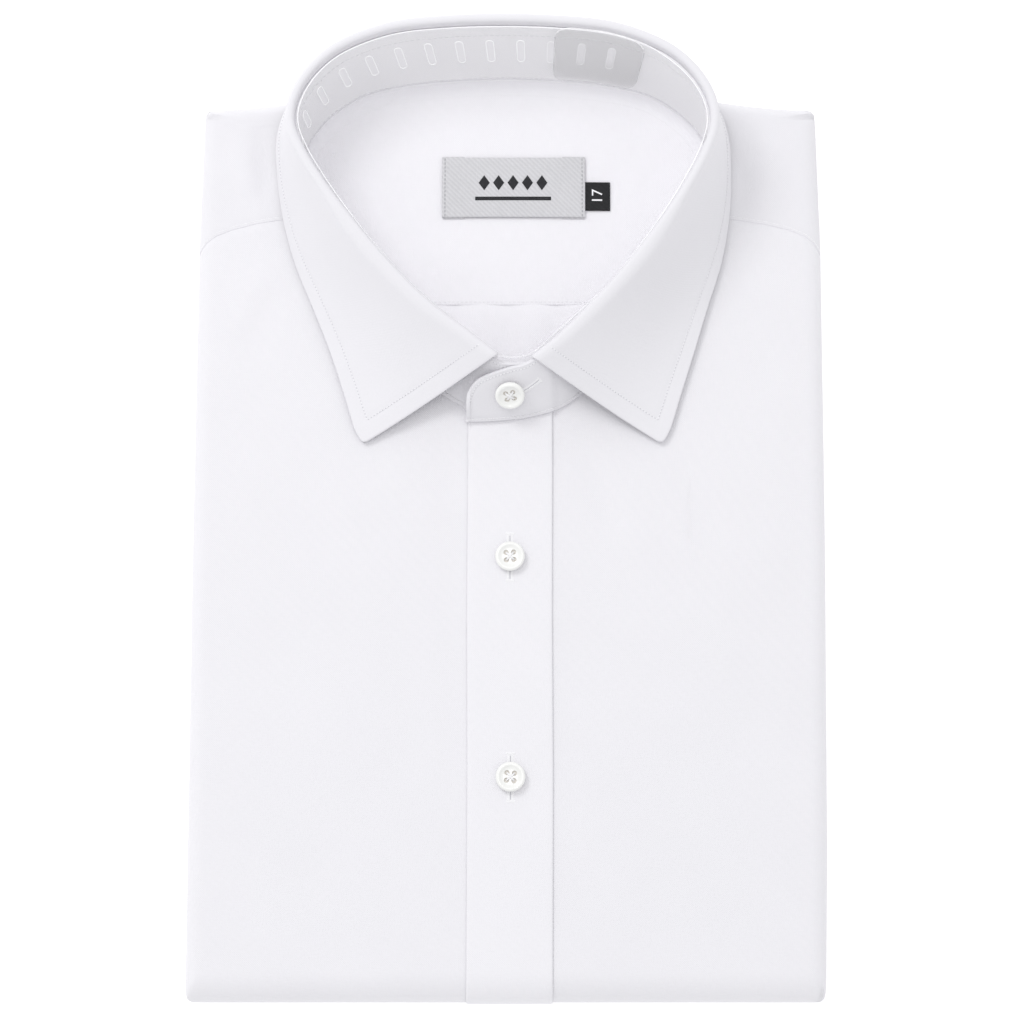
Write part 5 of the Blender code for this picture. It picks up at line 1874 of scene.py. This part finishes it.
def sewing_thread():
    """Two crossing bundles of thread, down through opposite holes."""
    half = 0.5 * HOLE_PITCH
    top = BUTTON_HEIGHT - BUTTON_DISH
    meshes = []
    for turn, lift in ((1, 0.12), (-1, 0.32)):
        down = [(-1.0, -1.2), (-1.0, top - 0.5), (-0.93, top + 0.05), (-0.6, top + lift)]
        route = [*down, (0.0, top + lift + 0.12), *((-along, z) for along, z in down[::-1])]
        for shift in (-0.7 * SEWING_SPREAD, 0.7 * SEWING_SPREAD):
            line = [(half * along + shift * turn, half * along * turn - shift, z) for along, z in route]
            meshes.append(wire("sewing", [line], SEWING_RADIUS, 2, closed=False))
    return joined("sewing", meshes, thread_finish)


def shank():
    """Thread wound under the button; it shows at the bottom of the holes."""
    form = bmesh.new()
    depth = SHANK_TOP + SHANK_GAP
    radius = SHANK_RADIUS * MM
    sizes = {"segments": 32, "radius1": radius, "radius2": radius, "depth": depth * MM}
    bmesh.ops.create_cone(form, cap_ends=True, **sizes)
    bmesh.ops.translate(form, verts=form.verts[:], vec=(0.0, 0.0, (SHANK_TOP - 0.5 * depth) * MM))
    return mesh_of(form, "shank", shank_finish)


def seated(mesh, name, centre, tilt, spin):
    """A copy of a mesh, turned and moved into its place, with its object left at the origin."""
    copy = mesh.copy()
    copy.name = name
    turn = Matrix.Rotation(tilt, 4, "X") @ Matrix.Rotation(spin, 4, "Z")
    copy.transform(Matrix.Translation(Vector([value * MM for value in centre])) @ turn)
    return link(name, copy)


def collar_button_place():
    foot, full = foot_at(*COLLAR_BUTTON_FOOT), full_rise()
    normal = np.array([0.0, -full[2], full[1]]) / math.hypot(full[1], full[2])
    rise = OVERLAP_SHIFT + 0.5 * BAND_WALL + SHANK_GAP
    return foot + full * COLLAR_BUTTON_SHARE + normal * rise, math.atan2(-normal[1], normal[2])


PLACKET_BUTTONS = (
    # x, y, spin in degrees
    (0.0, -17.9, 3.0),
    (0.2, -103.0, -4.0),
)
button_mesh, sewing_mesh, shank_mesh = button_blank(), sewing_thread(), shank()
centre, tilt = collar_button_place()
seats = [("button_collar", centre, tilt, math.radians(12))]
for order, (x, y, spin) in enumerate(PLACKET_BUTTONS, start=1):
    centre = cover(x, y, -PLACKET_SHOWN) + SHANK_GAP * UPWARD
    seats.append(("button_%d" % order, centre, 0.0, math.radians(spin)))
buttons, sewings = [], []
for name, centre, tilt, spin in seats:
    buttons.append(seated(button_mesh, name + "_shell", centre, tilt, spin))
    sewings.append(seated(sewing_mesh, name + "_sewing", centre, tilt, spin))
    sewings.append(seated(shank_mesh, name + "_shank", centre, tilt, spin))
print("buttons:", [thing.name for thing in buttons], len(button_mesh.polygons), "faces each")

# %% [markdown]
# Rows of stitches
#
# A row of stitches repeats one small arch of thread along a line. Geometry Nodes do this well: the line is
# resampled at the pitch of the sewing machine, an arch of thread is placed on each point, and a stored
# vector tells each stitch which way is out of the cloth. Turned a quarter, the same tree makes the close
# bars of a buttonhole. Realize Instances makes a plain mesh of the result.

# %% Geometry Nodes: stitches
STITCH_SIZES = ("Pitch", "Stitch length", "Thread radius", "Arch")
STITCH_PITCH = 1.35
STITCH_LENGTH = 0.95
STITCH_ARCH = 0.12
STITCH_SINK = 0.08
THREAD_RADIUS = 0.13


def stitch_tree():
    group = bpy.data.node_groups.new("stitch_row", "GeometryNodeTree")
    socket(group, "Line", "INPUT", "Geometry")
    for name, size in zip(STITCH_SIZES, (STITCH_PITCH, STITCH_LENGTH, THREAD_RADIUS, STITCH_ARCH)):
        socket(group, name, "INPUT", "Float", size * MM)
    socket(group, "Turn", "INPUT", "Float", 0.0)
    socket(group, "Wander", "INPUT", "Float", 0.05)
    socket(group, "Seed", "INPUT", "Int")
    socket(group, "Finish", "INPUT", "Material")
    socket(group, "Stitches", "OUTPUT", "Geometry")
    tree = Tree(group)
    ins = tree.node("NodeGroupInput")
    line = tree.node("GeometryNodeMeshToCurve", {"Mesh": ins["Line"]})[0]
    even = tree.node("GeometryNodeResampleCurve", {"Curve": line, "Length": ins["Pitch"]}, mode="LENGTH")[0]
    half = tree.math("MULTIPLY", ins["Stitch length"], 0.5)
    low = tree.math("MULTIPLY", ins["Thread radius"], -0.8)
    start, end = (
        tree.node("ShaderNodeCombineXYZ", {"X": tree.math("MULTIPLY", half, way), "Z": low})[0]
        for way in (-1.0, 1.0)
    )
    top = tree.node("ShaderNodeCombineXYZ", {"Z": tree.math("MULTIPLY", ins["Arch"], 2.0)})[0]
    bend = {"Resolution": 4, "Start": start, "Middle": top, "End": end}
    arch = tree.node("GeometryNodeCurveQuadraticBezier", bend)[0]
    section = {"Resolution": 6, "Radius": ins["Thread radius"]}
    section = tree.node("GeometryNodeCurvePrimitiveCircle", section)["Curve"]
    thread = {"Curve": arch, "Profile Curve": section, "Fill Caps": True}
    thread = tree.node("GeometryNodeCurveToMesh", thread)[0]
    up = tree.node("GeometryNodeInputNamedAttribute", {"Name": "out_of_cloth"}, data_type="FLOAT_VECTOR")
    facing = {"Primary Axis": up["Attribute"], "Secondary Axis": tree.node("GeometryNodeInputTangent")[0]}
    facing = tree.node("FunctionNodeAxesToRotation", facing, primary_axis="Z", secondary_axis="X")[0]
    limits = {2: tree.math("MULTIPLY", ins["Wander"], -1.0), 3: ins["Wander"], "Seed": ins["Seed"]}
    uneven = tree.node("FunctionNodeRandomValue", limits, data_type="FLOAT")[1]
    quarter = {"Axis": (0.0, 0.0, 1.0), "Angle": tree.math("ADD", ins["Turn"], uneven)}
    quarter = tree.node("FunctionNodeAxisAngleToRotation", quarter)[0]
    turned = {"Rotation": facing, "Rotate By": quarter}
    turned = tree.node("FunctionNodeRotateRotation", turned, rotation_space="LOCAL")[0]
    placed = {"Points": even, "Instance": thread, "Rotation": turned}
    placed = tree.node("GeometryNodeInstanceOnPoints", placed)[0]
    real = tree.node("GeometryNodeRealizeInstances", {"Geometry": placed})[0]
    coloured = tree.node("GeometryNodeSetMaterial", {"Geometry": real, "Material": ins["Finish"]})[0]
    tree.put(coloured, group.nodes.new("NodeGroupOutput").inputs["Stitches"])
    return group


stitch_row = stitch_tree()


def out_near(path, grid, out):
    """For each point of a path, the way out of the cloth at the nearest point of a grid."""
    flat, ways = grid.reshape(-1, 3), out.reshape(-1, 3)
    nearest = [int(np.argmin(((flat - point) ** 2).sum(axis=1))) for point in path]
    return ways[nearest]


def sew(name, lines, seed, finish, pitch=STITCH_PITCH, length=STITCH_LENGTH, radius=THREAD_RADIUS,
        arch=STITCH_ARCH, turn=0.0, sink=STITCH_SINK):
    """Rows of stitches along lines, each a list of points and the way out of the cloth at each."""
    points, ways, edges = [], [], []
    for path, out in lines:
        first = len(points)
        points += list(path - out * sink)
        ways += list(out)
        edges += [(k, k + 1) for k in range(first, first + len(path) - 1)]
    mesh = bpy.data.meshes.new(name)
    mesh.from_pydata((np.array(points) * MM).tolist(), edges, [])
    stored = mesh.attributes.new("out_of_cloth", "FLOAT_VECTOR", "POINT")
    stored.data.foreach_set("vector", np.array(ways, np.float32).ravel())
    thing = link(name, mesh)
    rows = thing.modifiers.new("stitches", "NODES")
    rows.node_group = stitch_row
    values = {name: size * MM for name, size in zip(STITCH_SIZES, (pitch, length, radius, arch))}
    values.update({"Turn": turn, "Seed": seed, "Finish": finish})
    for item in stitch_row.interface.items_tree:
        if item.name in values:
            rows[item.identifier] = values[item.name]
    apply_modifiers(thing)
    thing.data.shade_smooth()
    print("%-24s %6d faces" % (name, len(thing.data.polygons)))
    return thing


# %% Sew the seams
INNER_ROW_FROM_Y = 108.0  # the inside rows show only behind this
HOLES = {"radius": 0.12, "arch": 0.02, "sink": 0.03}
stitched = []


def sewn(name, lines, seed, finish=thread_finish, **sizes):
    stitched.append(sew(name, lines, seed, finish, **sizes))


def needle_holes(name, path, grid, ways, seed, length):
    """The holes between the stitches, as small grey marks half a pitch further on: painted shade in the holes.
    """
    run = run_along(path)
    holes = at_distances(path, run, steps(0.5 * STITCH_PITCH, run[-1] - 0.5 * STITCH_PITCH, 1.0))
    sewn(name, [(holes, out_near(holes, grid, ways))], seed, needle_hole_shade_finish, length=length, **HOLES)


sewn("stitches_leaf", [(leaf_path, out_near(leaf_path, leaf_grid, leaf_normals))], 1, sink=0.14)
needle_holes("needle_holes_leaf", leaf_path, leaf_grid, leaf_normals, 41, 0.5)
needle_holes("needle_holes_band", top_stitches, band_grid, band_ways, 42, 0.45)

for edge, path, seed in (("low", low_stitches, 2), ("top", top_stitches, 3)):
    sewn("stitches_band_" + edge, [(path, out_near(path, band_grid, band_ways))], seed, sink=0.1)

inner_row = {"pitch": 2.2, "length": 1.5, "sink": 0.03}
for edge, path, seed in zip(("low", "top"), inner_band_lines, (5, 6)):
    kept = path[path[:, 1] > INNER_ROW_FROM_Y]
    lines = [(kept, out_near(kept, inner_grid, inner_ways))]
    sewn("stitches_band_inner_" + edge, lines, seed, inner_thread, **inner_row)

yoke_lines = [(path, out_near(path, yoke_grid, upward_normals(yoke_grid))) for path in yoke_stitch_lines]
sewn("stitches_yoke", yoke_lines, 7, sink=0.1)

lines = [(inner_stitch_line, np.tile(UPWARD, (len(inner_stitch_line), 1)))]
sewn("stitches_inner_yoke", lines, 8, inner_thread, pitch=1.7, length=1.2, sink=0.1)

label_rows = []
for x in (LABEL_X[0] + LABEL_STITCH_IN, LABEL_X[1] - LABEL_STITCH_IN):
    y = steps(LABEL_Y[0] + 0.8, LABEL_Y[1] - 0.8, 0.8)
    x = np.full(len(y), x)
    label_rows.append((np.stack([x, y, label_top(x, y)], axis=1), np.tile(UPWARD, (len(y), 1))))
sewn("stitches_label", label_rows, 9, tape_thread, pitch=1.6, length=1.0, radius=0.16, sink=0.02)

# %% [markdown]
# Buttonholes
#
# A buttonhole is a slit with close bars of thread along both sides and a wider bar across each end. The
# buttons cover most of each one, so its ends show above and below them. The collar's buttonhole lies along
# the band instead.

# %% Buttonholes
HOLE_LENGTH = 19.4
HOLE_BAR = 1.25
HOLE_HALF_GAP = 0.78
BAR_PITCH = 0.3
BAR_RADIUS = 0.17
END_BAR_WIDTH = 3.1
END_BAR_LENGTH = 1.1
SLIT_WIDTH = 0.26
BARS = {"pitch": BAR_PITCH, "radius": BAR_RADIUS, "turn": 0.5 * math.pi}

def buttonhole(name, middle, along, across, out, length, seed):
    """Bars of thread round a slit, on a flat place with three square directions."""

    def line(start, end, count=12):
        share = shares(count)[:, None]
        a = middle + along * start[0] + across * start[1]
        b = middle + along * end[0] + across * end[1]
        return a + (b - a) * share, np.tile(out, (count, 1))

    half = 0.5 * length
    end, wide = half - 0.5, 0.5 * END_BAR_WIDTH
    sides = [line((1.0 - half, way * HOLE_HALF_GAP), (half - 1.0, way * HOLE_HALF_GAP)) for way in (-1, 1)]
    ends = [line((way * end, -wide), (way * end, wide)) for way in (-1, 1)]
    sewn(name + "_sides", sides, seed, length=HOLE_BAR, arch=0.1, sink=0.08, **BARS)
    sewn(name + "_ends", ends, seed + 1, length=END_BAR_LENGTH, arch=0.14, sink=0.02, **BARS)
    # The slit is a dark box: painted shade in the opening.
    corners = []
    for a, b in ((-1, -1), (1, -1), (1, 1), (-1, 1)):
        corners.append(middle + along * a * (half - 1.3) + across * b * 0.5 * SLIT_WIDTH + out * 0.06)
    form = bmesh.new()
    top = [form.verts.new(point * MM) for point in corners]
    low = [form.verts.new((point - out * 0.2) * MM) for point in corners]
    form.faces.new(top)
    form.faces.new(low[::-1])
    for k in range(4):
        n = (k + 1) % 4
        form.faces.new((low[k], low[n], top[n], top[k]))
    bmesh.ops.recalc_face_normals(form, faces=form.faces[:])
    stitched.append(link(name + "_slit", mesh_of(form, name + "_slit", slit_shadow_finish)))


ACROSS = np.array([1.0, 0.0, 0.0])
for order, (x, y, _) in enumerate(PLACKET_BUTTONS, start=1):
    middle = cover(x, y - 0.2, -PLACKET_SHOWN)
    slope = unit(cover(x, y + 8.0, -PLACKET_SHOWN) - cover(x, y - 8.0, -PLACKET_SHOWN))
    out = np.cross(ACROSS, slope)
    buttonhole("buttonhole_%d" % order, middle, slope, ACROSS, out, HOLE_LENGTH, 10 + 4 * order)

# %% Collar buttonhole
COLLAR_HOLE = (
    # distance from the front middle along the band, share of its height
    (1.0, 0.43),
    (11.2, 0.56),
)
COLLAR_HOLE_POINTS = 16
front_middle = int(np.argmin(np.abs(tops[: len(tops) // 3, 0])))
along_band = band_run - band_run[front_middle]
place = np.linspace(*[end[0] for end in COLLAR_HOLE], COLLAR_HOLE_POINTS)
share = np.linspace(*[end[1] for end in COLLAR_HOLE], COLLAR_HOLE_POINTS)
low_edge = at_distances(feet + shift, along_band, place)
rising = at_distances(rise, along_band, place)
ways = unit(at_distances(band_out, along_band, place))
core = low_edge + rising * share[:, None]
side_way = unit(np.cross(ways, np.gradient(core, axis=0)))
lines = [(core + side_way * sign * HOLE_HALF_GAP * 0.8, ways) for sign in (-1, 1)]
sewn("buttonhole_collar_sides", lines, 30, length=1.0, sink=0.05, **BARS)
end_bar = core[-1] + side_way[-1] * np.linspace(-1.3, 1.3, 8)[:, None]
sewn("buttonhole_collar_end", [(end_bar, np.tile(ways[-1], (8, 1)))], 31, length=0.9, **BARS)
# The collar's slit is a dark strip: painted shade in the opening.
slit = np.stack([core - side_way * 0.5 * SLIT_WIDTH, core + side_way * 0.5 * SLIT_WIDTH], axis=1)
slit += ways[:, None] * 0.06
slit_flat = np.stack([np.broadcast_to(place[:, None], slit.shape[:2]), np.zeros(slit.shape[:2])], axis=-1)
name = "buttonhole_collar_slit"
slit_piece = link(name, sheet_mesh(name, slit, slit_flat, slit_shadow_finish))
add_wall(slit_piece, 0.2, 1)
stitched.append(slit_piece)

# %% [markdown]
# What each piece is
#
# Every piece rides on the shirt's one body, and the solids it stands for are hidden. For each cloth piece the
# size it was cut to is worked out from its flat coordinates and printed.

# %% Settle the pieces


def cut_of(flat):
    """Width, length and area of a piece's cut, in metres, from its flat coordinates."""
    size = (flat.reshape(-1, 2).max(axis=0) - flat.reshape(-1, 2).min(axis=0)) * MM
    a, b = flat[1:, 1:] - flat[:-1, :-1], flat[1:, :-1] - flat[:-1, 1:]
    area = 0.5 * np.abs(a[..., 0] * b[..., 1] - a[..., 1] * b[..., 0]).sum() * MM**2
    return tuple(float(value) for value in size), float(area)


def settle(piece, nodes=()):
    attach(piece, "root")
    if nodes:
        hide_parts(*nodes)


cuts = {}


def cloth_sheet(piece, nodes, flat):
    """A piece of cloth: its place, the solids it stands for, which are hidden, and the size it was cut to."""
    settle(piece, nodes)
    (width, length), area = cut_of(flat)
    cuts[piece.name] = (round(width * 1000, 1), round(length * 1000, 1), round(area * 1e4, 1))
    area = min(area, width * length)


settle(pile, ["hidden_layers"])
for panel, panel_flat in under_panels:
    cloth_sheet(panel, [], panel_flat)
cloth_sheet(back, ["back"], back_flat)
settle(neck_seam)
cloth_sheet(lining, ["yoke_lining"], lining_flat)
cloth_sheet(fronts[0], ["front_left"], front_flats[0])
cloth_sheet(fronts[1], ["front_right"], front_flats[1])
cloth_sheet(placket, ["placket"], placket_flat)
cloth_sheet(yoke, ["yoke"], yoke_flat)
cloth_sheet(band, ["collar_stand"], band_flat)
cloth_sheet(leaf, ["collar_leaf"], leaf_flat)
cloth_sheet(label, ["neck_label"], label_flat)
cloth_sheet(tab, ["size_tab"], tab_flat)
settle(strip, ["collar_support"])
for button, (name, *_) in zip(buttons, seats):
    settle(button, [name])
for slot_name, pieces in (
    ("collar_cloth", [inner_band]),
    ("clear_plastic", slot_rims),
    ("woven_label", flaps),
    ("tab_cloth", [label_marks]),
    ("white_cloth", [*sewings, number]),
):
    for piece in pieces:
        settle(piece)
for piece in stitched:
    on_collar = any(part in piece.name for part in ("band", "collar", "leaf"))
    slot_name = "collar_cloth" if on_collar else "white_cloth"
    settle(piece)
for name, cut in cuts.items():
    print("%-18s cut %.1f x %.1f mm, %.1f square centimetres" % (name, *cut))
